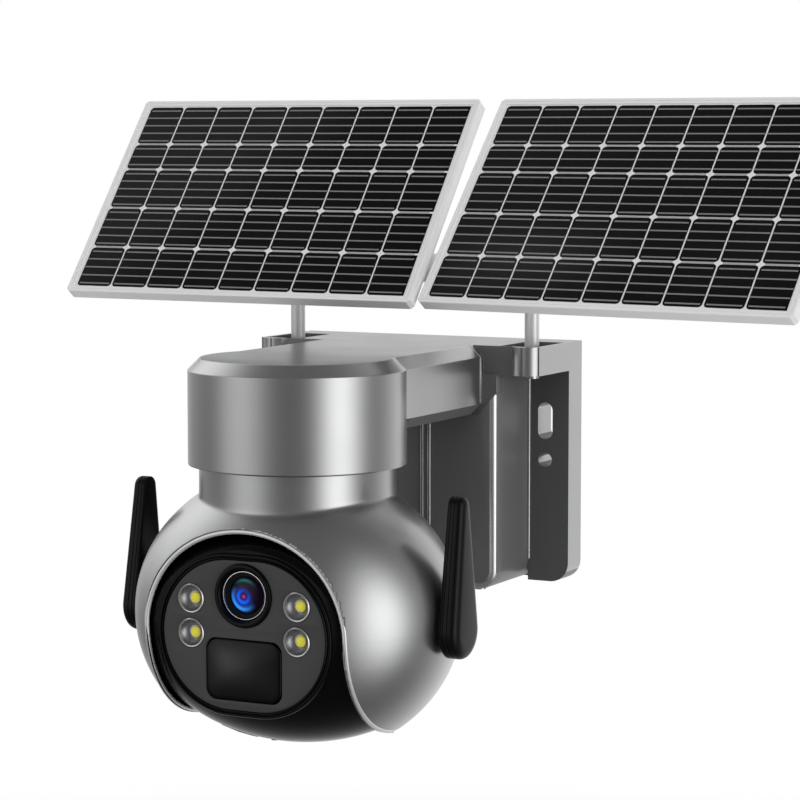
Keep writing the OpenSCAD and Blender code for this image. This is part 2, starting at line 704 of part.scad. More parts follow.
module face_tube(z, r_out, r_in, back, front, x = 0) translate([x, back, z]) rotate([90, 0, 0])
    difference() {
        cylinder(r = r_out, h = back - front);
        translate([0, 0, -1]) cylinder(r = r_in, h = back - front + 2);
    }

module lens_ring() color("#101112") {
    face_tube(lens_z, lens_ring_r, 9.4, plate_y + 3, rim_y - 0.2);
    face_tube(lens_z, 9.4, 7.2, plate_y + 3, plate_y + 1.2);
}

// Outline of a lens cap of a given rim radius and rise: flat back at 0, domed front
function cap_outline(rim, rise, edge, steps = 8) = let (ball = (rim * rim + rise * rise) / (2 * rise),
    half = asin(rim / ball)) concat([[0, 0], [rim, 0]], [for (i = [0:steps]) let (t = half * (1 - i / steps))
    [ball * sin(t), edge + ball * cos(t) - ball + rise]]);

module lens_glass() color([0.1, 0.2, 0.6, 0.5]) translate([0, plate_y + 1.2, lens_z]) rotate([90, 0, 0])
    rotate_extrude() polygon(cap_outline(9.3, 1.3, 0.5));

module lens_barrel() color("#1a1b1c") difference() {
    face_tube(lens_z, 7, 4.5, plate_y + 22, plate_y + 3);
}

module sensor_board() color("#1f6b3a") {
    on_face(lens_z, plate_y + 23.6, plate_y + 22) square([26, 26], center = true);
    on_face(lens_z, plate_y + 22, plate_y + 20.6) square([6, 5], center = true);
}

module lamp_board() color("#1d1e20") difference() {
    on_face(face_z, board_y + 1.4, board_y) stadium(face_w - 4, face_h - 4);
    translate([0, board_y + 3, lens_z]) rotate([90, 0, 0]) cylinder(r = 8, h = 8);
    translate([0, board_y + 3, window_z]) rotate([90, 0, 0]) cylinder(r = 4.7, h = 8);
}

module lamp_chips() color("#f4d83a") for (s = [-1, 1], z = lamp_z) translate([s * lamp_x, 0, 0])
    on_face(z, board_y, board_y - 1) square([3.4, 3.4], center = true);

module lamp_cups() color("#c9cbcc") for (s = [-1, 1], z = lamp_z)
    face_tube(z, lamp_r - 0.1, 4.2, board_y, plate_y + 1.5, s * lamp_x);

module lamp_domes() color([0.9, 0.92, 0.95, 0.4]) for (s = [-1, 1], z = lamp_z)
    translate([s * lamp_x, plate_y + 1.5, z]) rotate([90, 0, 0])
        rotate_extrude() polygon(cap_outline(lamp_r - 0.05, 2.1, 0.5));

module motion_window() color("#0a0a0b") intersection() {
    on_face(window_z, plate_y + 1.6, rim_y - 0.3) rounded_box(window_w - 0.1, window_h - 0.1, 4);
    translate([0, plate_y + 44, window_z]) rotate([0, 90, 0]) cylinder(r = 46, h = 60, center = true);
}

module motion_sensor() color("#b8babc") translate([0, board_y + 2.6, window_z]) rotate([90, 0, 0])
    cylinder(r = 4.6, h = 4.6);

module speaker() color("#4b4d4f") translate([0, pan_y, tilt_z]) rotate([-141, 0, 0]) {
    translate([0, 0, 37.5]) cylinder(r = 14, h = 3);
    translate([0, 0, 33.5]) cylinder(r = 8, h = 4);
}

// Card socket and reset switch on their own small board above the flap
module card_board() color("#1f6b3a") translate([0, flap_y, tilt_z - 38]) {
    translate([-24, -6, 0]) cube([24, 12, 1.2]);
    translate([-24, -5, -2]) cube([12, 10, 2]);
    translate([button_x - 2, -2, -6.4]) cube([4, 4, 6.4]);
}

// A block square to the ball's skin at the flap, grown at the sides, the front and the rear
module flap_block(sides, front, rear) translate([flap_x, flap_y, tilt_z - flap_drop])
    rotate([0, flap_slope - 90, 0])
        translate([-flap_size[0] / 2 - sides, -flap_size[1] / 2 - front, -4])
            cube([flap_size[0] + 2 * sides, flap_size[1] + front + rear, 8]);

// The flap's hinge barrel along its rear edge
module flap_barrel(r, length) translate([flap_x, flap_y + flap_size[1] / 2, tilt_z - flap_drop])
    rotate([0, flap_slope, 0]) translate([0, 0, -length / 2]) cylinder(r = r, h = length);

module card_flap() color("#1b1c1d") {
    intersection() {
        difference() {
            spheroid(ball_a + 0.35, ball_r + 0.35);
            spheroid(ball_a - ball_t, ball_r - ball_t);
        }
        flap_block(0, 0, 0);
    }
    flap_barrel(0.7, 9);
}

module reset_button() color("#2f3031") translate([button_x, flap_y, tilt_z - ball_r + 1.4])
    cylinder(r = button_r, h = 3.4);

// ---------------------------------------------------------------- nodes

wall_plate();
battery_box();
battery_cover();
arm_housing();
arm_base_cover();
drum_base();
pan_bearing();
pan_motor();
battery_cells();
charge_board();
charge_inlet();
case_screws();
support_posts();
post_screws();
cross_rail();
rail_caps();
rail_hubs();
pan_pinion();
pan_spindle();
pan_gear();
pan_collar();
yoke_shell();
cheek_plates();
tilt_bushes();
tilt_motor();
main_board();
antenna_hubs();
tilt_pinion();
left_antenna();
right_antenna();
ball_front();
ball_rear();
tilt_shafts();
tilt_gear();
bezel_ring();
face_plate();
lens_ring();
lens_glass();
lens_barrel();
sensor_board();
lamp_board();
lamp_cups();
lamp_domes();
lamp_chips();
motion_window();
motion_sensor();
speaker();
card_board();
card_flap();
reset_button();
left_swivel();
left_panel_frame();
left_cell_sheet();
left_bracket();
left_box();
right_swivel();
right_panel_frame();
right_cell_sheet();
right_bracket();
right_box();
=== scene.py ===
import json
import math

import bmesh
import bpy
from mathutils import Matrix, Vector


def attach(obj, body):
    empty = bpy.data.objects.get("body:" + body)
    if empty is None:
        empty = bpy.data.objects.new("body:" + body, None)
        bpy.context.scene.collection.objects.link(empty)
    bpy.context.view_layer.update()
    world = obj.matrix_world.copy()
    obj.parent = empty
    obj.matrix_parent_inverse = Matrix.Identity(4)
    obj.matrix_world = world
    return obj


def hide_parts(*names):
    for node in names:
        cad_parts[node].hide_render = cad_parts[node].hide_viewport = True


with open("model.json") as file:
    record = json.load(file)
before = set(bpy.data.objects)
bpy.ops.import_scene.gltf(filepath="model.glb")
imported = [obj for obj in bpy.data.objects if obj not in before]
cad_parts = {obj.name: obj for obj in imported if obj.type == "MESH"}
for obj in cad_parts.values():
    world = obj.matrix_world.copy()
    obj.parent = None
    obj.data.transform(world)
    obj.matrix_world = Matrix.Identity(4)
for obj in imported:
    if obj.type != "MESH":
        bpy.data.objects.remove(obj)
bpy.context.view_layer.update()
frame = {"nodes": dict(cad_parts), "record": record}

MM = 0.001

# ------------------------------------------------------------ sizes, in millimetres
TOP_Z, BOTTOM_Z, ARM_SIDE_LOW = 50.0, -49.2, 26.5
PAN_Y, TILT_Z = -127.6, -48.0
DRUM_BOTTOM, DRUM_R = 9.1, 42.0
SHELL_A, SHELL_B, NECK_R, SHELL_T = 65.0, 56.3, 37.8, 2.0
RIM_Y, CHEEK_X, SKIRT_Z = -170.6, 41.9, -60.0
SKIRT_FRONT_Z, SKIRT_STEP_Y = TILT_Z - 2.0, PAN_Y - 20
BALL_A, BALL_B, BALL_X = 68.0, 50.3, 41.3
FACE_W, FACE_H, FACE_Z = 69.4, 56.7, -51.35
PLATE_Y, BEZEL_Y = -169.8, -170.2
LENS_Z, LAMP_X, LAMP_R = -36.15, 22.6, 5.6
LAMP_Z = (-38.65, -51.75)
WINDOW_Z, WINDOW_W, WINDOW_H = -64.45, 31.8, 22.8
BOX_HALF, ARM_JOINT_Y = 45.5, -46.7
HUB_Y, HUB_Z, BLADE_X = -129.1, -50.0, 65.9
PANEL_W, PANEL_H, PANEL_BACK, PANEL_FRONT = 165.0, 100.6, 9.6, 15.0
PIVOTS = {"left": ((-55.9, -36.1, 100.0), (-2.4, 52.5)),
          "right": ((114.0, -48.2, 100.0), (-8.4, 52.5))}


# ------------------------------------------------------------ shared makers
def new_object(name, data):
    obj = bpy.data.objects.new(name, data)
    bpy.context.collection.objects.link(obj)
    return obj


def new_material(name):
    """A material with its node tree and its main shader."""
    material = bpy.data.materials.new(name)
    material.use_nodes = True
    return material, material.node_tree, material.node_tree.nodes["Principled BSDF"]


def set_range(node, low, high, to_low, to_high):
    names = ("From Min", "From Max", "To Min", "To Max")
    for name, value in zip(names, (low, high, to_low, to_high)):
        node.inputs[name].default_value = value


# ------------------------------------------------------------ camera, light, floor
# each soft light: turn from the front towards +X, height, half width, half height, strength
STUDIO = ((75.0, 2.0, 21.0, 34.0, 2.45), (-33.0, 8.0, 26.0, 28.0, 1.1),
          (182.0, 2.0, 47.0, 52.0, 1.08), (-106.0, 32.0, 34.0, 28.0, 1.35))
BASE_LIGHT, LIGHT_FALLOFF = 0.15, 2.4
LIGHT_AIM = Vector((0.0, -0.09, 0.0))
FLOOR_SIDES, FLOOR_RADIUS, FLOOR_FADE = 64, 1.4, (0.55, 1.3)


def stage_camera():
    cam = new_object("camera_main", bpy.data.cameras.new("camera_main"))
    cam.data.lens, cam.data.sensor_width = 126.0, 36.0
    cam.data.clip_start, cam.data.clip_end = 0.05, 60.0
    cam.location = (0.5165, -1.0622, 0.1362)
    cam.rotation_euler = (math.radians(84.5), 0.0, math.radians(26.82))
    bpy.context.scene.camera = cam


def softbox(name, toward, distance, width, height, radiance):
    """A rectangular light facing the head from one direction, hidden in reflections."""
    light = bpy.data.lights.new(name, "AREA")
    light.shape, light.size, light.size_y = "RECTANGLE", width, height
    light.energy = radiance * math.pi * width * height
    obj = new_object(name, light)
    way = Vector(toward).normalized()
    obj.location = LIGHT_AIM + way * distance
    obj.rotation_euler = way.to_track_quat("Z", "Y").to_euler()
    obj.visible_glossy = False


def stage_world():
    """Plain white behind the object, which is lit by a dim surround with broad soft lights."""
    world = bpy.data.worlds.new("studio")
    bpy.context.scene.world = world
    world.use_nodes = True
    tree = world.node_tree
    tree.nodes.clear()
    link = tree.links.new

    def maths(kind, a, b=None, c=None):
        node = tree.nodes.new("ShaderNodeMath")
        node.operation = kind
        for place, value in zip(node.inputs, (a, b, c)):
            if value is None:
                continue
            if isinstance(value, (int, float)):
                place.default_value = value
            else:
                link(value, place)
        return node.outputs[0]

    coord = tree.nodes.new("ShaderNodeTexCoord")
    split = tree.nodes.new("ShaderNodeSeparateXYZ")
    link(coord.outputs["Generated"], split.inputs[0])
    x, y, z = split.outputs
    azimuth = maths("ARCTAN2", x, maths("MULTIPLY", y, -1.0))
    height = maths("ARCSINE", maths("MAXIMUM", maths("MINIMUM", z, 1.0), -1.0))
    total = maths("ADD", BASE_LIGHT, 0.0)
    for place, level, wide, tall, power in STUDIO:
        turn = maths("WRAP", maths("SUBTRACT", azimuth, math.radians(place)), math.pi, -math.pi)
        across = maths("DIVIDE", turn, math.radians(wide))
        up = maths("DIVIDE", maths("SUBTRACT", height, math.radians(level)), math.radians(tall))
        away = maths("ADD", *[maths("POWER", maths("ABSOLUTE", share), LIGHT_FALLOFF)
                              for share in (across, up)])
        shine = maths("MULTIPLY", maths("EXPONENT", maths("MULTIPLY", away, -1.0)), power)
        total = maths("ADD", total, shine)
    around = tree.nodes.new("ShaderNodeBackground")
    link(total, around.inputs["Strength"])
    white = tree.nodes.new("ShaderNodeBackground")
    for shade in (around, white):
        shade.inputs["Color"].default_value = (1.0, 1.0, 1.0, 1.0)
    path = tree.nodes.new("ShaderNodeLightPath")
    mix = tree.nodes.new("ShaderNodeMixShader")
    out = tree.nodes.new("ShaderNodeOutputWorld")
    link(path.outputs["Is Camera Ray"], mix.inputs["Fac"])
    link(around.outputs["Background"], mix.inputs[1])
    link(white.outputs["Background"], mix.inputs[2])
    link(mix.outputs["Shader"], out.inputs["Surface"])


def stage_floor():
    """A pale round floor well below the object that fades out at its edge."""
    count = FLOOR_SIDES
    verts = [(0.0, 0.0, 0.0)] + [(FLOOR_RADIUS * math.cos(a), FLOOR_RADIUS * math.sin(a), 0.0)
                                for a in (math.tau * i / count for i in range(count))]
    faces = [(0, i + 1, (i + 1) % count + 1) for i in range(count)]
    mesh = bpy.data.meshes.new("floor")
    mesh.from_pydata(verts, [], faces)
    floor = new_object("floor", mesh)
    floor.location = (0.0, -0.1, -0.42)
    material, tree, bsdf = new_material("floor_pale")
    bsdf.inputs["Base Color"].default_value = (0.9, 0.9, 0.9, 1.0)
    bsdf.inputs["Roughness"].default_value = 0.8
    coord = tree.nodes.new("ShaderNodeTexCoord")
    size = tree.nodes.new("ShaderNodeVectorMath")
    size.operation = "LENGTH"
    fade = tree.nodes.new("ShaderNodeMapRange")
    fade.interpolation_type = "SMOOTHSTEP"
    set_range(fade, *FLOOR_FADE, 1.0, 0.0)
    tree.links.new(coord.outputs["Object"], size.inputs[0])
    tree.links.new(size.outputs["Value"], fade.inputs["Value"])
    tree.links.new(fade.outputs["Result"], bsdf.inputs["Alpha"])
    mesh.materials.append(material)
    floor.visible_glossy = False


stage_camera()
stage_world()
stage_floor()
bpy.context.scene.view_settings.view_transform = "Standard"
softbox("key_top", (0.25, -0.75, 0.62), 1.6, 1.2, 1.0, 1.5)
softbox("key_right", (0.95, 0.1, 0.3), 1.6, 1.0, 1.0, 0.5)


# ------------------------------------------------------------ materials
def socket(bsdf, name, value):
    if name in bsdf.inputs:
        bsdf.inputs[name].default_value = value


def finish_material(name, colour, metallic=0.0, rough=0.4, spread=0.05, tint=0.06,
                    grain=900.0, bump=0.02, bump_scale=1800.0, specular=0.5,
                    stretch=(1.0, 1.0, 1.0), coat=0.0, coat_rough=0.05, emission=None):
    """A moulded or painted surface: fine colour drift, uneven gloss and a small grain."""
    material, tree, bsdf = new_material(name)
    socket(bsdf, "Metallic", metallic)
    socket(bsdf, "Specular IOR Level", specular)
    socket(bsdf, "Coat Weight", coat)
    socket(bsdf, "Coat Roughness", coat_rough)
    coord = tree.nodes.new("ShaderNodeTexCoord")
    mapping = tree.nodes.new("ShaderNodeMapping")
    mapping.inputs["Scale"].default_value = stretch
    drift = tree.nodes.new("ShaderNodeTexNoise")
    drift.inputs["Scale"].default_value = 38.0
    drift.inputs["Detail"].default_value = 3.0
    fine = tree.nodes.new("ShaderNodeTexNoise")
    fine.inputs["Scale"].default_value = grain
    fine.inputs["Detail"].default_value = 2.0
    low = tree.nodes.new("ShaderNodeMapRange")
    set_range(low, 0.3, 0.7, max(rough - spread, 0.02), rough + spread)
    mix = tree.nodes.new("ShaderNodeMix")
    mix.data_type = "RGBA"
    dark = [c * (1.0 - tint) for c in colour]
    light = [min(c * (1.0 + tint), 1.0) for c in colour]
    mix.inputs["A"].default_value = (*dark, 1.0)
    mix.inputs["B"].default_value = (*light, 1.0)
    relief = tree.nodes.new("ShaderNodeTexNoise")
    relief.inputs["Scale"].default_value = bump_scale
    relief.inputs["Detail"].default_value = 2.0
    bumps = tree.nodes.new("ShaderNodeBump")
    bumps.inputs["Strength"].default_value = bump
    bumps.inputs["Distance"].default_value = 0.0004
    link = tree.links.new
    link(coord.outputs["Object"], mapping.inputs["Vector"])
    for node in (drift, fine, relief):
        link(mapping.outputs["Vector"], node.inputs["Vector"])
    link(drift.outputs["Fac"], low.inputs["Value"])
    link(low.outputs["Result"], bsdf.inputs["Roughness"])
    link(fine.outputs["Fac"], mix.inputs["Factor"])
    link(mix.outputs["Result"], bsdf.inputs["Base Color"])
    link(relief.outputs["Fac"], bumps.inputs["Height"])
    link(bumps.outputs["Normal"], bsdf.inputs["Normal"])
    if emission:
        bsdf.inputs["Emission Color"].default_value = (*emission[0], 1.0)
        bsdf.inputs["Emission Strength"].default_value = emission[1]
    return material


def clear_material(name, tone, gloss=0.02):
    """A clear thin moulding: see-through with a bright edge, no refraction."""
    material, tree, bsdf = new_material(name)
    bsdf.inputs["Base Color"].default_value = (*tone, 1.0)
    layer = tree.nodes.new("ShaderNodeLayerWeight")
    layer.inputs["Blend"].default_value = 0.35
    edge = tree.nodes.new("ShaderNodeMapRange")
    set_range(edge, 0.25, 0.95, 0.06, 0.55)
    noise = tree.nodes.new("ShaderNodeTexNoise")
    noise.inputs["Scale"].default_value = 90.0
    cloud = tree.nodes.new("ShaderNodeMapRange")
    set_range(cloud, 0.0, 1.0, gloss, gloss + 0.06)
    tree.links.new(layer.outputs["Facing"], edge.inputs["Value"])
    tree.links.new(edge.outputs["Result"], bsdf.inputs["Alpha"])
    tree.links.new(noise.outputs["Fac"], cloud.inputs["Value"])
    tree.links.new(cloud.outputs["Result"], bsdf.inputs["Roughness"])
    return material


# colour, metal, roughness and its spread, tint, grain, bump and its scale, specular, stretch
FINISHES = {
    "grey_shell": ((0.44, 0.442, 0.446), 0.95, 0.30, 0.02, 0.04, 2600.0, 0.012, 2600.0),
    "dark_grey_case": ((0.17, 0.171, 0.173), 0.3, 0.4, 0.03, 0.05, 2600.0, 0.015, 2600.0),
    "gloss_black": ((0.002, 0.002, 0.0024), 0.0, 0.17, 0.03, 0.1, 700.0, 0.003, 900.0, 0.12),
    "face_grey": ((0.042, 0.042, 0.0435), 0.0, 0.46, 0.04, 0.05, 1800.0, 0.05, 3200.0, 0.4),
    "black_plastic": ((0.003, 0.003, 0.0034), 0.0, 0.32, 0.03, 0.1, 1200.0, 0.02, 3000.0, 0.16),
    "white_plastic": ((0.8, 0.79, 0.75), 0.0, 0.45, 0.05, 0.02),
    "panel_frame": ((0.92, 0.922, 0.925), 0.0, 0.36, 0.05, 0.015, 1500.0, 0.02, 2500.0, 0.5,
                    (1.0, 0.15, 1.0)),
    "solar_cells": ((0.0015, 0.0015, 0.0018), 0.0, 0.22, 0.04, 0.2, 500.0, 0.006, 900.0, 0.12),
    "support_metal": ((0.86, 0.862, 0.865), 0.25, 0.36, 0.05, 0.02, 1500.0, 0.02, 2400.0),
    "steel": ((0.5, 0.5, 0.51), 1.0, 0.32, 0.06, 0.05, 1500.0, 0.03),
    "board_green": ((0.02, 0.13, 0.05), 0.0, 0.4, 0.06, 0.2, 400.0),
    "cell_wrap": ((0.05, 0.2, 0.45), 0.0, 0.25, 0.04, 0.05),
    "reflector": ((0.30, 0.30, 0.315), 0.9, 0.22, 0.04, 0.04),
    "rubber_black": ((0.012, 0.012, 0.0125), 0.0, 0.55, 0.05, 0.1, 900.0, 0.08, 2500.0, 0.3),
}
MATS = {name: finish_material(name, *values) for name, values in FINISHES.items()}
MATS["lens_blue"] = finish_material("lens_blue", (0.01, 0.02, 0.08), 0.0, 0.05, 0.01, 0.05, 800.0,
                                    0.002, 900.0, coat=1.0, coat_rough=0.02)
MATS["lamp_yellow"] = finish_material("lamp_yellow", (0.80, 0.74, 0.05), 0.0, 0.4, 0.05, 0.12,
                                      900.0, 0.02, 900.0, specular=0.2,
                                      emission=((0.80, 0.74, 0.05), 0.2))
MATS["clear_dome"] = clear_material("clear_dome", (0.5, 0.5, 0.55))
BACKSHEET = finish_material("backsheet_white", (0.88, 0.885, 0.89), 0.0, 0.4, 0.05, 0.015, 700.0,
                            0.01, 1500.0, specular=0.3)
BUSBAR = finish_material("busbar_silver", (0.22, 0.22, 0.225), 0.0, 0.35, 0.05, 0.15, 700.0, 0.02,
                         1500.0, specular=0.3)
GAP_STRIP = finish_material("gap_grey", (0.42, 0.42, 0.43), 0.0, 0.4, 0.05, 0.05, 700.0, 0.02,
                            1500.0, specular=0.3)
# a darker copy of the grey shell finish for faces that look up: painted shade on tops
TOP_SHADE = finish_material("top_shade", (0.185, 0.186, 0.188), 0.95, 0.30, 0.02, 0.04, 2600.0,
                           0.012, 2600.0)
# a darker finish for faces that look straight forwards: painted shade on fronts
FRONT_SHADE = finish_material("front_shade", (0.105, 0.106, 0.108), 0.25, 0.42, 0.03, 0.05, 2600.0,
                             0.015, 2600.0, specular=0.3)
# a darker finish for the fronts of the shelf and the battery cover: painted shade
SHELF_FRONT_SHADE = finish_material("shelf_front_shade", (0.16, 0.161, 0.163), 0.4, 0.38, 0.03, 0.05, 2600.0,
                              0.015, 2600.0, specular=0.3)
# a brighter copy of the grey finish for rounded edges and thin beads: painted highlight
EDGE_HIGHLIGHT = finish_material("edge_highlight", (0.6, 0.601, 0.604), 0.9, 0.26, 0.02, 0.04, 2600.0,
                            0.01, 2600.0)
# a light copy of the shell finish for its rim lip: painted highlight
RIM_HIGHLIGHT = finish_material("rim_highlight", (0.72, 0.721, 0.724), 0.55, 0.3, 0.02, 0.03, 2600.0,
                             0.01, 2600.0)
# a bright silver: the lens's real trim ring, and painted highlight on the cover's ribs and the
# lamps' rims
SILVER_AND_HIGHLIGHT = finish_material("silver_and_highlight", (0.75, 0.75, 0.78), 0.9, 0.2, 0.03, 0.02)
# a dark finish for the ribs deep in the ear sockets: painted shade in the pockets
POCKET_SHADE = finish_material("pocket_shade", (0.05, 0.05, 0.052), 0.6, 0.45, 0.05, 0.1)


def add_sheen(material, tone):
    """Lets a mesh attribute called sheen lift the base colour, like a soft light in the glass."""
    tree = material.node_tree
    bsdf = tree.nodes["Principled BSDF"]
    base = bsdf.inputs["Base Color"].links[0].from_socket
    share = tree.nodes.new("ShaderNodeAttribute")
    share.attribute_name = "sheen"
    lift = tree.nodes.new("ShaderNodeMix")
    lift.data_type = "RGBA"
    lift.inputs["B"].default_value = (*tone, 1.0)
    tree.links.new(share.outputs["Fac"], lift.inputs["Factor"])
    tree.links.new(base, lift.inputs["A"])
    tree.links.new(lift.outputs["Result"], bsdf.inputs["Base Color"])


add_sheen(MATS["solar_cells"], (0.2, 0.2, 0.205))

SLOT_OF = {part["node"]: part["material_slot"] for part in frame["record"]["subparts"]}
BODY_OF = {node: body for body, nodes in frame["record"]["behaviour"]["bodies"].items()
           for node in nodes}

# every CAD node takes its own finish; the ones that a piece replaces below are then hidden
for node_name, node_obj in frame["nodes"].items():
    node_obj.data.materials.clear()
    node_obj.data.materials.append(MATS[SLOT_OF[node_name]])


# ------------------------------------------------------------ mesh helpers
def piece_from(bm, name, node, materials=None, replaces=True, body=None, slot=None, sharp=35.0):
    """Turns a bmesh in millimetres into a piece that rides and is finished like a CAD node."""
    bmesh.ops.recalc_face_normals(bm, faces=bm.faces)
    bmesh.ops.scale(bm, vec=(MM, MM, MM), verts=bm.verts)
    mesh = bpy.data.meshes.new(name)
    bm.to_mesh(mesh)
    bm.free()
    mesh.shade_smooth()
    mesh.set_sharp_from_angle(angle=math.radians(sharp))
    for material in materials or [MATS[slot or SLOT_OF[node]]]:
        mesh.materials.append(material)
    obj = new_object(name, mesh)
    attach(obj, body or BODY_OF[node])
    if replaces is True:
        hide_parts(node)
    elif replaces:
        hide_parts(*replaces)
    return obj


def weigh_normals(obj):
    obj.modifiers.new("weigh", "WEIGHTED_NORMAL").keep_sharp = True


def add_bevel(obj, width, segments=2, angle=30.0):
    bevel = obj.modifiers.new("bevel", "BEVEL")
    bevel.width, bevel.segments = width * MM, segments
    bevel.limit_method, bevel.angle_limit = "ANGLE", math.radians(angle)
    weigh_normals(obj)


def evaluated(obj):
    """A new mesh of an object with its modifiers, or its curve, worked out."""
    deps = bpy.context.evaluated_depsgraph_get()
    return bpy.data.meshes.new_from_object(obj.evaluated_get(deps))


def cut_plane(bm, co, no, drop=True, cap=False):
    """Cuts a bmesh at a plane; the side that the normal points to is dropped or kept."""
    found = bmesh.ops.bisect_plane(bm, geom=bm.verts[:] + bm.edges[:] + bm.faces[:], dist=1e-4,
                                   plane_co=co, plane_no=no, clear_outer=drop)
    if cap:
        edges = [g for g in found["geom_cut"] if isinstance(g, bmesh.types.BMEdge)]
        bmesh.ops.contextual_create(bm, geom=edges)


def by_side(obj, front=None, sides=None, edge=None, top=None):
    """Gives the faces of a piece that look forwards, sideways, up or between their own finish, so
    that one material's lit and shaded copies paint light and shade by facing.
    """
    mesh, index_of = obj.data, {}
    for kind, material in (("front", front), ("side", sides), ("edge", edge), ("top", top)):
        if material:
            mesh.materials.append(material)
            index_of[kind] = len(mesh.materials) - 1
    for face in mesh.polygons:
        n = face.normal
        kind = "other"
        if n.y < -0.995:
            kind = "front"
        elif n.z > 0.995:
            kind = "top"
        elif abs(n.x) > 0.9:
            kind = "side"
        elif n.y < -0.2 and abs(n.z) < 0.8:
            kind = "edge"
        face.material_index = index_of.get(kind, face.material_index)
    return obj


def refined(node, width=0.4, segments=2, angle=30.0, cut=None, edges=None):
    """A node's CAD shape, cleaned into flat faces, with its edges rounded over."""
    bm = bmesh.new()
    bm.from_mesh(frame["nodes"][node].data)
    bmesh.ops.remove_doubles(bm, verts=bm.verts, dist=2e-6)
    bmesh.ops.dissolve_limit(bm, angle_limit=math.radians(0.6), verts=bm.verts, edges=bm.edges)
    bmesh.ops.scale(bm, vec=(1000.0,) * 3, verts=bm.verts)
    if cut:
        cut_plane(bm, *cut)
    obj = piece_from(bm, node + "_skin", node, sharp=180.0)
    add_bevel(obj, width, segments, angle)
    # rounded edges may take a finish of their own, a lighter one standing for painted highlight
    if edges:
        obj.data.materials.append(edges)
        obj.modifiers["bevel"].material = 1
    return obj


def loft_into(bm, rings, cap_start=True, cap_end=True, loop=False, matrix=None, material=0):
    """Quads between rings of the same number of points, added to a bmesh in millimetres."""
    made = []
    for ring in rings:
        points = [matrix @ Vector(p) if matrix else Vector(p) for p in ring]
        made.append([bm.verts.new(p) for p in points])
    count = len(rings[0])
    pairs = list(zip(made, made[1:])) + ([(made[-1], made[0])] if loop else [])
    faces = []
    for low, high in pairs:
        for i in range(count):
            k = (i + 1) % count
            faces.append(bm.faces.new((low[i], low[k], high[k], high[i])))
    if cap_start and not loop:
        faces.append(bm.faces.new(list(reversed(made[0]))))
    if cap_end and not loop:
        faces.append(bm.faces.new(made[-1]))
    for face in faces:
        face.material_index = material


def circle(radius, count=64, centre=(0.0, 0.0)):
    return [(centre[0] + radius * math.cos(math.tau * i / count),
             centre[1] + radius * math.sin(math.tau * i / count)) for i in range(count)]


def stadium(width, height, arc=40, flat=8):
    """A rectangle with fully round ends, centred, as points of one loop."""
    radius, half = height / 2, (width - height) / 2
    points = []
    for side in (1, -1):
        start = -90.0 if side > 0 else 90.0
        for i in range(arc + 1):
            a = math.radians(start + 180.0 * i / arc)
            points.append((side * half + radius * math.cos(a), radius * math.sin(a)))
        for i in range(1, flat):
            points.append((side * half * (1.0 - 2.0 * i / flat), side * radius))
    return points


def rounded(width, height, radius, arc=10):
    """A rectangle with round corners, centred, as points of one loop."""
    points = []
    for sx, sy, start in ((1, 1, 0), (-1, 1, 90), (-1, -1, 180), (1, -1, 270)):
        for i in range(arc + 1):
            a = math.radians(start + 90.0 * i / arc)
            points.append((sx * (width / 2 - radius) + radius * math.cos(a),
                           sy * (height / 2 - radius) + radius * math.sin(a)))
    return points


def inset_loop(points, distance):
    """Moves each corner of an anticlockwise loop inwards along its mitre."""
    out, count = [], len(points)
    for i in range(count):
        before, here, after = points[i - 1], points[i], points[(i + 1) % count]
        e1 = Vector((here[0] - before[0], here[1] - before[1])).normalized()
        e2 = Vector((after[0] - here[0], after[1] - here[1])).normalized()
        n1, n2 = Vector((-e1.y, e1.x)), Vector((-e2.y, e2.x))
        mitre = (n1 + n2).normalized()
        scale = distance / max(mitre.dot(n1), 0.3)
        out.append((here[0] + mitre.x * scale, here[1] + mitre.y * scale))
    return out


def on_y(loop, y):
    """A loop of (x, z) points at one distance along Y."""
    return [(x, y, z) for x, z in loop]


def lathe_into(bm, profile, centre, axis, count=72, loop=False, material=0, caps=(False, False)):
    """Turns (radius, height) points round an axis: height runs along the axis direction."""
    way = Vector(axis).normalized()
    side = way.orthogonal().normalized()
    other = way.cross(side)
    base = Vector(centre)
    rings = []
    for radius, height in profile:
        rings.append([base + way * height + (side * math.cos(math.tau * i / count)
                      + other * math.sin(math.tau * i / count)) * max(radius, 0.01)
                      for i in range(count)])
    loft_into(bm, rings, caps[0], caps[1], loop, None, material)


def box_into(bm, low, high, matrix=None, material=0):
    x0, y0, z0 = low
    x1, y1, z1 = high
    rings = [[(x0, y0, z), (x1, y0, z), (x1, y1, z), (x0, y1, z)] for z in (z0, z1)]
    loft_into(bm, rings, matrix=matrix, material=material)


def cut_by(obj, bm):
    """Takes a closed bmesh, in millimetres, out of a piece's mesh."""
    bmesh.ops.recalc_face_normals(bm, faces=bm.faces)
    bmesh.ops.scale(bm, vec=(MM, MM, MM), verts=bm.verts)
    mesh = bpy.data.meshes.new("cutter")
    bm.to_mesh(mesh)
    bm.free()
    cutter = new_object("cutter", mesh)
    modifier = obj.modifiers.new("cut", "BOOLEAN")
    modifier.operation, modifier.solver, modifier.object = "DIFFERENCE", "EXACT", cutter
    made = evaluated(obj)
    obj.modifiers.clear()
    obj.data = made
    bpy.data.objects.remove(cutter)


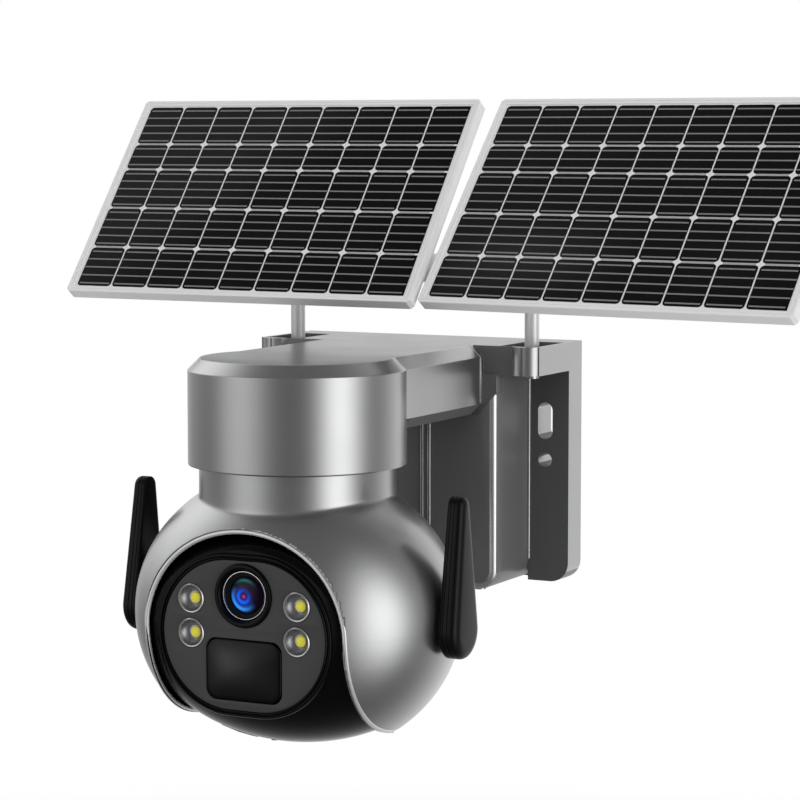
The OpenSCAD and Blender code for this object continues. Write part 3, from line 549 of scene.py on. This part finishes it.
# ------------------------------------------------------------ bracket
def arm_front():
    """The arm and the drum as one crisp moulding: a keyhole outline with a bevelled top."""
    half, skin = 39.0, 2.4
    side_y = math.sqrt(DRUM_R ** 2 - half ** 2)
    start = math.atan2(side_y, half)
    outline = [(-half, -30.0), (-half, -70.0), (-half, PAN_Y + side_y)]
    sweep, count = math.pi + 2 * start, 128
    for i in range(1, count):
        a = math.pi - start + sweep * i / count
        outline.append((DRUM_R * math.cos(a), PAN_Y + DRUM_R * math.sin(a)))
    outline += [(half, PAN_Y + side_y), (half, -70.0), (half, -30.0)]

    def ring(inset, z):
        return [(x, y, z) for x, y in inset_loop(outline, inset)]

    low = ARM_SIDE_LOW
    profile = ((skin, 46.5), (skin, low), (0.0, low), (0.0, 45.1), (0.06, 45.35), (0.22, 45.6),
               (4.4, 49.78), (4.65, 49.94), (5.0, TOP_Z))
    bm = bmesh.new()
    loft_into(bm, [ring(d, z) for d, z in profile])
    cut_plane(bm, (0, ARM_JOINT_Y, 0), (0, 1, 0))
    arc = circle(1.0, 140)
    walls = ((DRUM_R - skin, low), (DRUM_R - skin, DRUM_BOTTOM), (DRUM_R - 0.45, DRUM_BOTTOM),
             (DRUM_R - 0.12, DRUM_BOTTOM + 0.12), (DRUM_R, DRUM_BOTTOM + 0.45), (DRUM_R, low))
    loft_into(bm, [[(r * x, PAN_Y + r * y, z) for x, y in arc] for r, z in walls], loop=True)
    # the top faces take a darker copy of the grey finish: painted shade
    weigh_normals(by_side(piece_from(bm, "arm_front_skin", "arm_housing", replaces=False),
                          top=TOP_SHADE))


def wall_bracket():
    """The bracket's CAD shapes with rounded edges, and its fine beads, with painted shade on
    fronts and tops and painted highlight on edges and beads.
    """
    # the wall plate: painted shade on its fronts, the lighter shell grey on its sides and rounded
    # edges as painted light
    by_side(refined("wall_plate", 0.7, 3, edges=MATS["grey_shell"]), FRONT_SHADE,
            MATS["grey_shell"])
    refined("battery_box", 0.5, 2)
    # the shelf: painted shade on its fronts and top, painted highlight on its rounded edges
    by_side(refined("arm_housing", 0.35, 2, 25.0, cut=((0, ARM_JOINT_Y, 0), (0, -1, 0)),
                    edges=EDGE_HIGHLIGHT), SHELF_FRONT_SHADE, top=TOP_SHADE)
    arm_front()
    refined("arm_base_cover", 0.4, 2)
    refined("drum_base", 0.3, 2)
    for node in ("support_posts", "rail_hubs", "left_swivel", "right_swivel"):
        refined(node, 0.4, 2)
    for node in ("cross_rail", "rail_caps", "charge_inlet"):
        refined(node, 0.3, 2)
    # the thin raised line round the arm where it leaves the shelf, bright as painted highlight
    bm = bmesh.new()
    band = [(-39.3, 27.0), (39.3, 27.0), (39.3, 45.4), (34.5, 50.0), (-34.5, 50.0), (-39.3, 45.4)]
    loft_into(bm, [on_y(inset_loop(band, d), -y) for d, y in (
        (3.0, 45.5), (0.15, 45.5), (0.0, 45.65), (0.0, 46.0), (0.15, 46.15), (3.0, 46.15))])
    piece_from(bm, "arm_end_bead", "arm_housing", [EDGE_HIGHLIGHT], replaces=False, sharp=60.0)
    # a narrow bead where the box meets each flange, bright as painted highlight
    bm = bmesh.new()
    for side in (-1, 1):
        box_into(bm, (side * 46.0 - 0.55, -14.1, -40.5), (side * 46.0 + 0.55, -13.1, 38.2))
    add_bevel(piece_from(bm, "flange_beads", "wall_plate", [EDGE_HIGHLIGHT], replaces=False), 0.4, 3)


def cover_loop():
    """Outline of the battery cover in X and Z, anticlockwise seen from the front."""
    half, radius, low = BOX_HALF, 8.0, BOTTOM_Z
    points = []
    for side, start in ((-1, 180), (1, 270)):
        for i in range(13):
            a = math.radians(start + 90.0 * i / 12)
            points.append((side * (half - radius) + radius * math.cos(a),
                           low + radius + radius * math.sin(a)))
    return points + cover_top(half)


def cover_top(half):
    """The four points of the cover's top edge: level in the middle, rising to both sides."""
    level, rise = (37.5, 22.0), 9.07 / 8.0
    peak = level[1] + (half - level[0]) * rise
    return [(half, peak), level, (-level[0], level[1]), (-half, peak)]


def battery_cover():
    """The cover with soft outer edges and four thin ribs, bright as a painted highlight; its
    front takes painted shade and its rounded edges painted highlight.
    """
    base = cover_loop()
    # how far in from the outline, and how far off the wall
    profile = ((0.0, 39.15), (0.0, 42.2), (0.1, 42.95), (0.45, 43.7), (1.0, 44.3), (1.8, 44.75),
               (2.8, 45.0))
    bm = bmesh.new()
    rings = []
    for d, y in profile:
        rings.append(on_y(inset_loop(base, d)[:-4] + cover_top(BOX_HALF - d), -y))
    loft_into(bm, rings)
    # the four ribs take the bright silver finish as painted highlight
    for x in (-15.6, -12.4, 12.4, 15.6):
        ribs = ((0.0, 44.6), (0.0, 45.35), (0.12, 45.55), (0.28, 45.6))
        loft_into(bm, [on_y([(x - 0.6 + d, BOTTOM_Z + 5 + d), (x + 0.6 - d, BOTTOM_Z + 5 + d),
                             (x + 0.6 - d, 18.0 - d), (x - 0.6 + d, 18.0 - d)], -y)
                       for d, y in ribs], material=1)
    by_side(piece_from(bm, "battery_cover_skin", "battery_cover",
                       [MATS["dark_grey_case"], SILVER_AND_HIGHLIGHT], sharp=30.0), SHELF_FRONT_SHADE,
            edge=EDGE_HIGHLIGHT)


def ear_ribs():
    """Ribs across the bottom of the two sockets in the shelf's ears, dark as painted shade in the
    pockets.
    """
    bm = bmesh.new()
    for side in (-1, 1):
        for y in (-41.0, -36.5, -21.5, -17.0):
            box_into(bm, (side * 54 - 7.9, y - 0.5, 41.1), (side * 54 + 7.9, y + 0.5, 47.6))
        for x in (-4.0, 4.0):
            box_into(bm, (side * 54 + x - 0.5, -42.9, 41.1), (side * 54 + x + 0.5, -34.5, 46.6))
    obj = piece_from(bm, "socket_ribs", "arm_housing", [POCKET_SHADE], replaces=False)
    add_bevel(obj, 0.15, 1)


# ------------------------------------------------------------ head shell
def soft_max(a, b, k):
    """The larger of two values, with the step between them rounded over."""
    return 0.5 * (a + b + math.sqrt((a - b) ** 2 + k * k))


def skirt_at(y):
    """Height of the shell's lower edge between its cheeks: it steps up towards the front."""
    return SKIRT_FRONT_Z if y < SKIRT_STEP_Y else SKIRT_Z


def head_shell():
    """A broad spheroid under a round neck, open at the front and below for the ball."""
    columns, fillet = 300, 0.8
    heights = [DRUM_BOTTOM - 0.4 - 0.55 * i for i in range(62)]
    start = math.degrees(math.asin((heights[-1] - TILT_Z) / SHELL_B))
    steps = 60
    heights += [TILT_Z + SHELL_B * math.sin(math.radians(start + (-87.0 - start) * i / steps))
                for i in range(1, steps + 1)]
    rings = []
    for z in heights:
        part = math.sqrt(max(1.0 - ((z - TILT_Z) / SHELL_B) ** 2, 1e-9))
        ring = []
        for i in range(columns):
            a = math.tau * i / columns
            body = part / math.hypot(math.cos(a) / SHELL_A, math.sin(a) / SHELL_B)
            r = soft_max(body, NECK_R, fillet) if z > TILT_Z + 20 else body
            ring.append((r * math.cos(a), PAN_Y + r * math.sin(a), z))
        rings.append(ring)
    bm = bmesh.new()
    loft_into(bm, rings, False, False)
    bmesh.ops.recalc_face_normals(bm, faces=bm.faces)

    cut_plane(bm, (0, RIM_Y + 0.45, 0), (0, -1, 0))
    for side in (-1, 1):
        cut_plane(bm, (side * CHEEK_X, 0, 0), (1, 0, 0), drop=False)
    for z in (SKIRT_Z, SKIRT_FRONT_Z):
        cut_plane(bm, (0, 0, z), (0, 0, 1), drop=False)
    cut_plane(bm, (0, SKIRT_STEP_Y, 0), (0, 1, 0), drop=False)
    gone = []
    for face in bm.faces:
        c = face.calc_center_median()
        if abs(c.x) < CHEEK_X and c.z < skirt_at(c.y):
            gone.append(face)
    bmesh.ops.delete(bm, geom=gone, context="FACES")
    mesh_obj = piece_from(bm, "yoke_shell_skin", "yoke_shell", sharp=50.0)
    solid = mesh_obj.modifiers.new("wall", "SOLIDIFY")
    solid.thickness, solid.offset = SHELL_T * MM, -1.0
    mesh_obj.data.materials.append(MATS["gloss_black"])
    solid.material_offset = solid.material_offset_rim = 1
    made = evaluated(mesh_obj)
    mesh_obj.modifiers.clear()
    mesh_obj.data = made
    # the wall's inner edge is brought back to the flat cut beside the ball
    for vert in made.vertices:
        x, y, z = vert.co / MM
        if 38.0 < abs(x) < CHEEK_X and z < skirt_at(y) - 0.01:
            vert.co.x = math.copysign(CHEEK_X * MM, x)
    rim_lip()


def rim_lip():
    """The rounded lip along the shell's front rim and down its two cheeks, light as a painted
    highlight.
    """
    reach = math.sqrt(1.0 - ((RIM_Y - PAN_Y) / SHELL_B) ** 2)
    turn = math.acos(CHEEK_X / (SHELL_A * reach))
    cheek = SHELL_B * math.sqrt(1.0 - (CHEEK_X / SHELL_A) ** 2)
    meet = math.asin(-SHELL_B * reach * math.sin(turn) / cheek)
    half, low, radius, sides = [], math.radians(-84.0), 0.95, 20
    for i in range(25):
        a = low + (meet - low) * i / 24
        half.append((CHEEK_X + 1.0, PAN_Y - cheek * math.cos(a), TILT_Z + cheek * math.sin(a)))
    for i in range(1, 46):
        a = -turn + (math.pi / 2 + turn) * i / 45
        rise = SHELL_B * reach * math.sin(a)
        aside = max(0.0, 1.0 - max(rise, 0.0) / 16.0) ** 2
        half.append((SHELL_A * reach * math.cos(a) + aside, RIM_Y, TILT_Z + rise))
    path = [Vector(p) for p in half]
    path += [Vector((-p.x, p.y, p.z)) for p in reversed(path[:-1])]
    for _ in range(6):
        path = [path[0]] + [(a + b * 2 + c) / 4 for a, b, c in zip(path, path[1:], path[2:])] \
            + [path[-1]]
    rings, middle = [], Vector((0.0, PAN_Y, TILT_Z))
    for i, p in enumerate(path):
        along = (path[min(i + 1, len(path) - 1)] - path[max(i - 1, 0)]).normalized()
        out = Vector(((p.x - middle.x) / SHELL_A ** 2, (p.y - middle.y) / SHELL_B ** 2,
                      (p.z - middle.z) / SHELL_B ** 2)).normalized()
        across = along.cross(out).normalized()
        seat = p - out * 0.62 + Vector((0.0, 0.75, 0.0))
        rings.append([seat + (out * x + across * y) * radius for x, y in circle(1.0, sides)])
    bm = bmesh.new()
    loft_into(bm, rings)
    piece_from(bm, "shell_rim_lip", "yoke_shell", [RIM_HIGHLIGHT], replaces=False, sharp=80.0)


# ------------------------------------------------------------ camera ball
def ball_halves():
    """The camera ball, a smooth spheroid with flat cheeks and a flat front, in two mouldings."""
    around, fillet = 160, 1.2
    stations = [-BALL_X + fillet + (2 * BALL_X - 2 * fillet) * i / 72 for i in range(73)]

    def radius(x):
        return BALL_B * math.sqrt(1.0 - (x / BALL_A) ** 2)

    def rings():
        made = []
        ends = [(fillet * math.sin(math.radians(a)), fillet * (1 - math.cos(math.radians(a))))
                for a in (18, 36, 54, 72, 90)]
        edge = radius(BALL_X - fillet)
        left = [(-BALL_X + fillet - dx, edge - drop) for dx, drop in ends]
        right = [(BALL_X - fillet + dx, edge - drop) for dx, drop in ends]
        for x, r in list(reversed(left)) + [(x, radius(x)) for x in stations] + right:
            made.append([(x, PAN_Y + r * math.cos(math.tau * i / around),
                          TILT_Z + r * math.sin(math.tau * i / around)) for i in range(around)])
        return made

    for name, node, keep in (("ball_front_skin", "ball_front", -1),
                             ("ball_rear_skin", "ball_rear", 1)):
        bm = bmesh.new()
        loft_into(bm, rings())
        cut_plane(bm, (0, PAN_Y + keep * 0.12, 0), (0, -keep, 0), cap=True)
        if keep < 0:
            cut_plane(bm, (0, BEZEL_Y + 1.4, 0), (0, -1, 0), cap=True)
        obj = piece_from(bm, name, node, sharp=30.0)
        if keep < 0:
            open_ball_front(obj)


def open_ball_front(obj):
    """Cuts the face opening, the card flap's bay, its hinge barrel and the button's hole."""
    hole = bmesh.new()
    slope = (Matrix.Translation((-19, PAN_Y - 11, TILT_Z - 48.22))
             @ Matrix.Rotation(math.radians(12.04), 4, "Y"))
    box_into(hole, (-7.2, -4.9, -4.5), (7.2, 4.65, 6.0), slope)
    lathe_into(hole, ((1.9, -60), (1.9, -44)), (-4.0, PAN_Y - 11, TILT_Z), (0, 0, 1), 32,
               caps=(True, True))
    loft_into(hole, [[(x, y, FACE_Z + z) for x, z in stadium(FACE_W + 1.0, FACE_H + 1.0)]
                     for y in (BEZEL_Y - 0.6, PAN_Y - 16.0)])
    cut_by(obj, hole)
    # the barrel overlaps the bay, so it is cut in a step of its own
    barrel = bmesh.new()
    lathe_into(barrel, ((0.9, -4.82), (0.9, 4.82)), (-19, PAN_Y - 6.5, -96.22),
               (0.978, 0, -0.2086), 24, caps=(True, True))
    cut_by(obj, barrel)
    obj.data.shade_smooth()
    obj.data.set_sharp_from_angle(angle=math.radians(30))


def bezel():
    """The raised black surround: a stadium boss with a double rim round the face."""
    # how far outside the face outline, and where along Y
    boss = ((0.3, -160.0), (2.5, -160.0), (2.5, -168.7), (2.4, -169.3), (2.1, -169.8),
            (1.75, -170.0), (1.4, -169.95), (1.2, -169.65), (1.1, -169.3), (0.95, -169.3),
            (0.85, -169.75), (0.65, -170.15), (0.4, -170.3), (0.15, -170.2), (0.05, -169.9),
            (0.05, -167.6), (0.3, -167.6))
    bm = bmesh.new()
    rings = [[(x, y, FACE_Z + z) for x, z in stadium(FACE_W + 2 * g, FACE_H + 2 * g)]
             for g, y in boss]
    loft_into(bm, rings, loop=True)
    piece_from(bm, "bezel_skin", "bezel_ring", sharp=40.0)


def curve_plate(name, node, loops, thickness, edge, place):
    """A flat plate from closed 2D loops (the first outside, the others holes), rounded edges."""
    curve = bpy.data.curves.new(name, "CURVE")
    curve.dimensions, curve.fill_mode = "2D", "BOTH"
    curve.extrude, curve.bevel_depth = thickness / 2 - edge, edge
    curve.bevel_resolution, curve.offset = 2, -edge
    for loop in loops:
        spline = curve.splines.new("POLY")
        spline.points.add(len(loop) - 1)
        for point, (u, v) in zip(spline.points, loop):
            point.co = (u, v, 0.0, 1.0)
        spline.use_cyclic_u = True
    maker = new_object(name + "_curve", curve)
    mesh = evaluated(maker)
    bpy.data.objects.remove(maker)
    bm = bmesh.new()
    bm.from_mesh(mesh)
    bmesh.ops.remove_doubles(bm, verts=bm.verts, dist=1e-4)
    bm.transform(place)
    piece_from(bm, name, node)


# turns a flat drawing in X and Y into one in X and Z that looks forwards
FACE_PLANE = Matrix(((1, 0, 0, 0), (0, 0, -1, 0), (0, 1, 0, 0), (0, 0, 0, 1)))


def face_plate():
    """The dark plate with openings for the lens, the four lamps and the motion window."""
    loops = [stadium(FACE_W - 0.1, FACE_H - 0.1)]
    loops.append([(x, z + LENS_Z - FACE_Z) for x, z in circle(12.1, 72)])
    for side in (-1, 1):
        for z in LAMP_Z:
            loops.append(circle(LAMP_R + 0.05, 48, (side * LAMP_X, z - FACE_Z)))
    window = rounded(WINDOW_W + 0.7, WINDOW_H + 0.7, 4.3)
    loops.append([(x, z + WINDOW_Z - FACE_Z) for x, z in window])
    place = Matrix.Translation((0, PLATE_Y + 0.9, FACE_Z)) @ FACE_PLANE
    curve_plate("face_plate_skin", "face_plate", loops, 1.8, 0.2, place)


def lens():
    """Lens ring, the ribbed dark cone behind it and the coated front element with painted
    reflections and a painted glow.
    """
    at, front = (0.0, PLATE_Y, LENS_Z), (0, -1, 0)
    bm = bmesh.new()
    ring = ((12.0, -2.8), (12.0, 0.45), (11.85, 0.8), (11.5, 1.0), (10.7, 1.05), (10.2, 0.85),
            (9.9, 0.4), (9.75, -0.1), (9.7, -1.0), (9.4, -1.15), (9.4, -2.8))
    lathe_into(bm, ring, at, front, 96, loop=True)
    piece_from(bm, "lens_ring_skin", "lens_ring", sharp=40.0)
    bm = bmesh.new()
    cone = [(9.38, -2.7), (9.38, -0.95), (9.1, -0.8)]
    for i in range(3):
        r = 8.35 - 0.5 * i
        cone += [(r + 0.2, -1.5 - 0.4 * i), (r, -1.5 - 0.4 * i), (r - 0.12, -1.8 - 0.4 * i)]
    cone += [(6.95, -3.05), (6.6, -3.6), (8.0, -3.6)]
    lathe_into(bm, cone, at, front, 96, loop=True)
    piece_from(bm, "lens_cone", "lens_barrel", replaces=False, sharp=25.0)
    bm = bmesh.new()
    lathe_into(bm, ((9.05, -0.82), (9.08, -0.7), (8.9, -0.69), (8.86, -0.85)), at, front, 96,
               loop=True)
    piece_from(bm, "lens_trim_ring", "lens_ring", [SILVER_AND_HIGHLIGHT], replaces=False, slot="reflector")
    bm = bmesh.new()
    arc = [math.radians(a) for a in range(0, 90, 3)]
    dome = [(6.9, -3.2)] + [(6.9 * math.cos(a), -3.0 + 1.7 * math.sin(a)) for a in arc]
    dome.append((0.02, -1.3))
    lathe_into(bm, dome, at, front, 96, caps=(True, True))
    # the element glows a little though it is no lamp: painted light
    coating_and_glow = tinted("lens_coating_and_glow", 0.6)
    element = piece_from(bm, "lens_element", "lens_glass", [coating_and_glow], sharp=60.0)
    add_tint(element, lambda x, z: lens_tint(x, z - LENS_Z))


def add_tint(obj, colour_at):
    """Stores a colour on each point of a piece from its place in X and Z, in millimetres."""
    tint = obj.data.attributes.new("tint", "FLOAT_COLOR", "POINT")
    for vert, item in zip(obj.data.vertices, tint.data):
        item.color = (*colour_at(vert.co.x / MM, vert.co.z / MM), 1.0)


def lens_tint(x, z):
    """Colour of the coated glass: violet middle and blue rings, brighter towards the lower left
    as painted highlight, with a bright crescent below as painted highlight and a teal arc at the
    top as painted reflection.
    """
    x, z = x + 0.7, z + 0.5
    r = math.hypot(x, z)

    def band(middle, half):
        return math.exp(-((r - middle) / half) ** 2)

    low = 0.5 - 0.5 * (z * 0.8 + x * 0.6) / max(r, 0.01)
    high = max(0.0, z / max(r, 0.01)) ** 6
    spot = math.exp(-((x - 0.15) ** 2 + z * z) / 0.35)
    # the teal band at the top stands for a painted reflection, the crescent below for a painted
    # highlight
    ring, outer, teal = band(2.3, 0.7), band(3.7, 0.45), band(6.1, 0.45) * high
    crescent = band(4.9, 0.8) * max(0.0, low - 0.4) ** 1.5 * 2.2
    return (0.45 * spot + 0.003 + 0.03 * crescent,
            0.02 * spot + 0.09 * ring * (0.2 + low) + 0.02 * outer * low + 0.30 * crescent
            + 0.12 * teal,
            0.40 * spot + 0.8 * ring * (0.25 + 0.9 * low) + 0.20 * outer * low
            + 0.95 * crescent + 0.10 * teal + 0.006)


def tinted(name, glow):
    """A glossy finish that takes its colour from the mesh and, given a glow, shines with that
    colour as painted light.
    """
    material, tree, bsdf = new_material(name)
    socket(bsdf, "Roughness", 0.15)
    socket(bsdf, "Specular IOR Level", 0.12)
    socket(bsdf, "Coat Weight", 0.1)
    socket(bsdf, "Coat Roughness", 0.02)
    tint = tree.nodes.new("ShaderNodeAttribute")
    tint.attribute_name = "tint"
    tree.links.new(tint.outputs["Color"], bsdf.inputs["Base Color"])
    if glow:
        tree.links.new(tint.outputs["Color"], bsdf.inputs["Emission Color"])
        bsdf.inputs["Emission Strength"].default_value = glow
    return material


def lamps():
    """Each lamp: a rim ring made bright as painted highlight, reflector cup, yellow chip on a
    pale disc, clear dome.
    """
    parts = {name: bmesh.new() for name in ("cup", "chip", "dome", "rim")}
    front = (0, -1, 0)
    for side in (-1, 1):
        for z in LAMP_Z:
            at = (side * LAMP_X, PLATE_Y, z)
            cup = ((5.5, -3.6), (5.5, -0.55), (5.05, -0.5), (4.6, -1.3), (3.6, -2.6), (2.6, -3.1),
                   (2.4, -3.6))
            lathe_into(parts["cup"], cup, at, front, 48, loop=True)
            rim = ((5.55, -0.6), (5.55, 0.25), (5.3, 0.5), (4.95, 0.35), (4.85, -0.45))
            lathe_into(parts["rim"], rim, at, front, 48, loop=True)
            disc = ((2.5, -3.5), (2.5, -3.0), (0.02, -2.98))
            lathe_into(parts["chip"], disc, at, front, 32, material=1, caps=(True, True))
            loop = rounded(3.9, 4.0, 1.85, 6)
            rings = [[(at[0] + 0.35 + x * s, PLATE_Y + y, z - 0.1 + v * s) for x, v in loop]
                     for s, y in ((1.0, 3.2), (1.0, 2.4), (0.9, 2.2), (0.5, 1.85))]
            loft_into(parts["chip"], rings)
            dome = [(5.0, -0.5)] + [(5.02 * math.cos(math.radians(a)),
                                     -0.1 + 1.15 * math.sin(math.radians(a)))
                                    for a in range(0, 90, 8)] + [(0.02, 1.05)]
            lathe_into(parts["dome"], dome, at, front, 48, caps=(False, True))
    piece_from(parts["cup"], "lamp_cup_skin", "lamp_cups", sharp=40.0)
    # the rim rings take the bright silver finish as painted highlight
    piece_from(parts["rim"], "lamp_rim_rings", "lamp_domes", [SILVER_AND_HIGHLIGHT], replaces=False,
               slot="reflector")
    piece_from(parts["chip"], "lamp_chip_skin", "lamp_chips",
               [MATS["lamp_yellow"], MATS["reflector"]], sharp=40.0)
    piece_from(parts["dome"], "lamp_dome_skin", "lamp_domes", sharp=60.0)


def motion_window():
    """The glossy crowned window of the motion sensor, with a soft painted highlight towards its
    upper left.
    """
    rings = []
    domed = [(i * 0.95, 0.1 + 0.95 * (1.0 - (1.0 - i / 11.5) ** 2)) for i in range(1, 12)]
    for inset, rise in [(0.0, -1.6), (0.0, -0.4), (0.12, -0.05), (0.4, 0.1)] + domed:
        corner = max(4.8 - inset * 0.38, 0.45)
        loop = rounded(WINDOW_W - 2 * inset, WINDOW_H - 2 * inset, corner, 8)
        rings.append([(x, PLATE_Y - rise, WINDOW_Z + z) for x, z in loop])
    bm = bmesh.new()
    loft_into(bm, rings)
    window = piece_from(bm, "motion_window_skin", "motion_window", [tinted("window_black", 0.0)],
                        sharp=45.0)

    # a soft painted highlight lifts the colour towards the upper left
    def painted_window_highlight(x, z):
        across, up = (x + 6.0) / 7.5, (z - WINDOW_Z - 3.5) / 6.0
        level = 0.001 + 0.045 * math.exp(-across ** 2 - up ** 2)
        return level, level, level * 1.03

    add_tint(window, painted_window_highlight)


# ------------------------------------------------------------ antennas
def antenna(side):
    """A paddle: round foot, narrow tip, two parting grooves and a crowned outer face."""
    reach, foot, tip, lean = 46.4, 10.8, 4.0, math.radians(-1.4)
    taper = math.asin((foot - tip) / reach)

    def arc(radius, height, start, stop, count):
        return [(radius * math.cos(start + (stop - start) * i / count),
                 height + radius * math.sin(start + (stop - start) * i / count))
                for i in range(count + 1)]

    def straight(a, b, count):
        return [(a[0] + (b[0] - a[0]) * i / count, a[1] + (b[1] - a[1]) * i / count)
                for i in range(1, count)]

    def ring(inset, height):
        low = arc(foot - inset, 0.0, math.pi - taper, math.tau + taper, 44)
        high = arc(tip - inset * 0.8, reach, taper, math.pi - taper, 28)
        points = low + straight(low[-1], high[0], 12) + high + straight(high[-1], low[0], 12)
        out = []
        for y, z in points:
            share = max(0.0, min(1.0, z / reach))
            out.append((side * (BLADE_X + height * (1.0 - 0.155 * share)),
                        HUB_Y + y * math.cos(lean) - z * math.sin(lean),
                        HUB_Z + z * math.cos(lean) + y * math.sin(lean)))
        return out

    # inset from the outline, and height above the inner face
    profile = ((1.0, 0.0), (0.3, 0.15), (0.0, 0.5), (0.0, 1.6), (0.3, 1.75), (0.3, 2.05),
               (0.0, 2.2), (0.0, 3.3), (0.3, 3.45), (0.3, 3.75), (0.0, 3.9), (0.0, 4.7),
               (0.15, 5.4), (0.5, 6.1), (1.0, 6.6), (1.7, 7.05), (2.5, 7.35), (3.3, 7.52),
               (4.2, 7.6))
    name = "left_antenna" if side < 0 else "right_antenna"
    bm = bmesh.new()
    loft_into(bm, [ring(d, h) for d, h in profile])
    piece_from(bm, name + "_skin", name, sharp=45.0)


# ------------------------------------------------------------ solar panels
def panel_matrix(which):
    """From a panel's own X, Y and normal to the shared frame, in millimetres."""
    pivot, aim = PIVOTS[which]
    return (Matrix.Translation(pivot) @ Matrix.Rotation(math.radians(aim[0]), 4, "Z")
            @ Matrix.Rotation(math.radians(aim[1]), 4, "X"))


def chamfered(width, height, corner):
    """A rectangle with its corners cut off, centred, as eight points."""
    w, h, c = width / 2, height / 2, max(corner, 0.02)
    return [(w, -h + c), (w, h - c), (w - c, h), (-w + c, h), (-w, h - c), (-w, -h + c),
            (-w + c, -h), (w - c, -h)]


def cell_rows():
    """Heights of the five cell rows from the bottom up; the fourth is a short one."""
    full, short, gap = 19.45, 12.5, 0.95
    rows, low = [], -(4 * full + short + 4 * gap) / 2
    for size in (full, full, full, short, full):
        rows.append((low, low + size))
        low += size + gap
    return rows


def cell_columns():
    """Left and right edges of the nine cell columns."""
    count, gap, span = 9, 0.75, PANEL_W - 7.8
    width = (span - (count - 1) * gap) / count
    return [(-span / 2 + i * (width + gap), -span / 2 + i * (width + gap) + width)
            for i in range(count)]


def cell_outline(u0, u1, v0, v1, cut, square_right):
    """A pseudo-square cell; the last column keeps square outer corners."""
    points = []
    corners = ((u1, v0, 1, -1), (u1, v1, 1, 1), (u0, v1, -1, 1), (u0, v0, -1, -1))
    for u, v, su, sv in corners:
        c = 0.15 if square_right and su > 0 else cut
        turn = [(u, v - sv * c), (u - su * c * 0.32, v - sv * c * 0.32), (u - su * c, v)]
        points += turn if su * sv > 0 else list(reversed(turn))
    return points


def cell_sheen(which, u, v):
    """How much of the soft light a cell shows: one corner of each panel catches it."""
    if which == "left":
        edge = 0.5 - 0.3 * v / 50.0
        return max(0.0, min(1.0, ((0.5 - u / 164.0) - edge) / 0.3)) * 0.06
    near = math.exp(-((u + 42.0) / 32.0) ** 2 - ((v + 26.0) / 12.0) ** 2)
    far = math.exp(-((u - 60.0) / 26.0) ** 2 - ((v + 20.0) / 12.0) ** 2)
    return 0.1 * near + 0.03 * far


def solar_panel(which):
    """Frame with its inner lip, then the white sheet with cells, thin bars and gap strips."""
    place = panel_matrix(which)
    front, back, cell_cut = PANEL_FRONT, PANEL_BACK, 1.35
    # frame: inset from the outer edge, and height along the panel's normal
    profile = ((8.0, back), (0.35, back), (0.0, back + 0.35), (0.0, front - 0.3),
               (0.12, front - 0.1), (0.35, front), (1.15, front), (1.3, front - 0.12),
               (1.38, front - 0.42), (1.55, front - 0.42), (1.62, front - 0.2),
               (2.55, front - 0.2), (2.7, front - 0.35), (2.7, front - 1.2), (8.0, front - 1.2))
    bm = bmesh.new()
    rings = [[(u, v, n) for u, v in chamfered(PANEL_W - 2 * d, PANEL_H - 2 * d,
                                              1.3 - 0.586 * min(d, 2.0))] for d, n in profile]
    loft_into(bm, rings, loop=True, matrix=place)
    piece_from(bm, which + "_frame_skin", which + "_panel_frame", sharp=20.0)

    bm = bmesh.new()
    w, h = PANEL_W / 2 - 2.6, PANEL_H / 2 - 2.6
    box_into(bm, (-w, -h, back + 0.25), (w, h, front - 0.75), place)
    top = front - 0.75
    rows, columns = cell_rows(), cell_columns()
    for v0, v1 in rows:
        for u0, u1 in columns:
            loop = cell_outline(u0, u1, v0, v1, cell_cut, (u0, u1) == columns[-1])
            loft_into(bm, [[(u, v, n) for u, v in loop] for n in (top, top + 0.1)], False, True,
                      matrix=place, material=1)
        short = v1 - v0 < 15
        bars = (0.16, 0.5, 0.84) if short else (0.07, 0.28, 0.49, 0.70, 0.90)
        for share in bars:
            v = v0 + (v1 - v0) * share
            for u0, u1 in columns:
                edge = 0.25 if 0.1 < share < 0.88 else 0.9
                box_into(bm, (u0 + edge, v - 0.33, top + 0.02), (u1 - edge, v + 0.33, top + 0.13),
                         place, 2)
    for (_, v1), (v2, _) in zip(rows, rows[1:]):
        for u0, u1 in columns:
            box_into(bm, (u0 + 1.5, v1 + 0.12, top - 0.02), (u1 - 1.5, v2 - 0.12, top + 0.03),
                     place, 3)
    cells = piece_from(bm, which + "_cells", which + "_cell_sheet",
                       [BACKSHEET, MATS["solar_cells"], BUSBAR, GAP_STRIP], sharp=30.0)
    back_to_panel = place.inverted()
    sheen = cells.data.attributes.new("sheen", "FLOAT", "POINT")
    for vert, item in zip(cells.data.vertices, sheen.data):
        at = back_to_panel @ (vert.co / MM)
        item.value = cell_sheen(which, at.x, at.y)
    refined(which + "_bracket", 0.35, 2)
    refined(which + "_box", 0.8, 3)


# ------------------------------------------------------------ build
wall_bracket()
battery_cover()
ear_ribs()
head_shell()
ball_halves()
bezel()
face_plate()
lens()
lamps()
motion_window()
antenna(-1)
antenna(1)
solar_panel("left")
solar_panel("right")
for hub_node in ("cheek_plates", "antenna_hubs", "pan_spindle"):
    refined(hub_node, 0.3, 2)
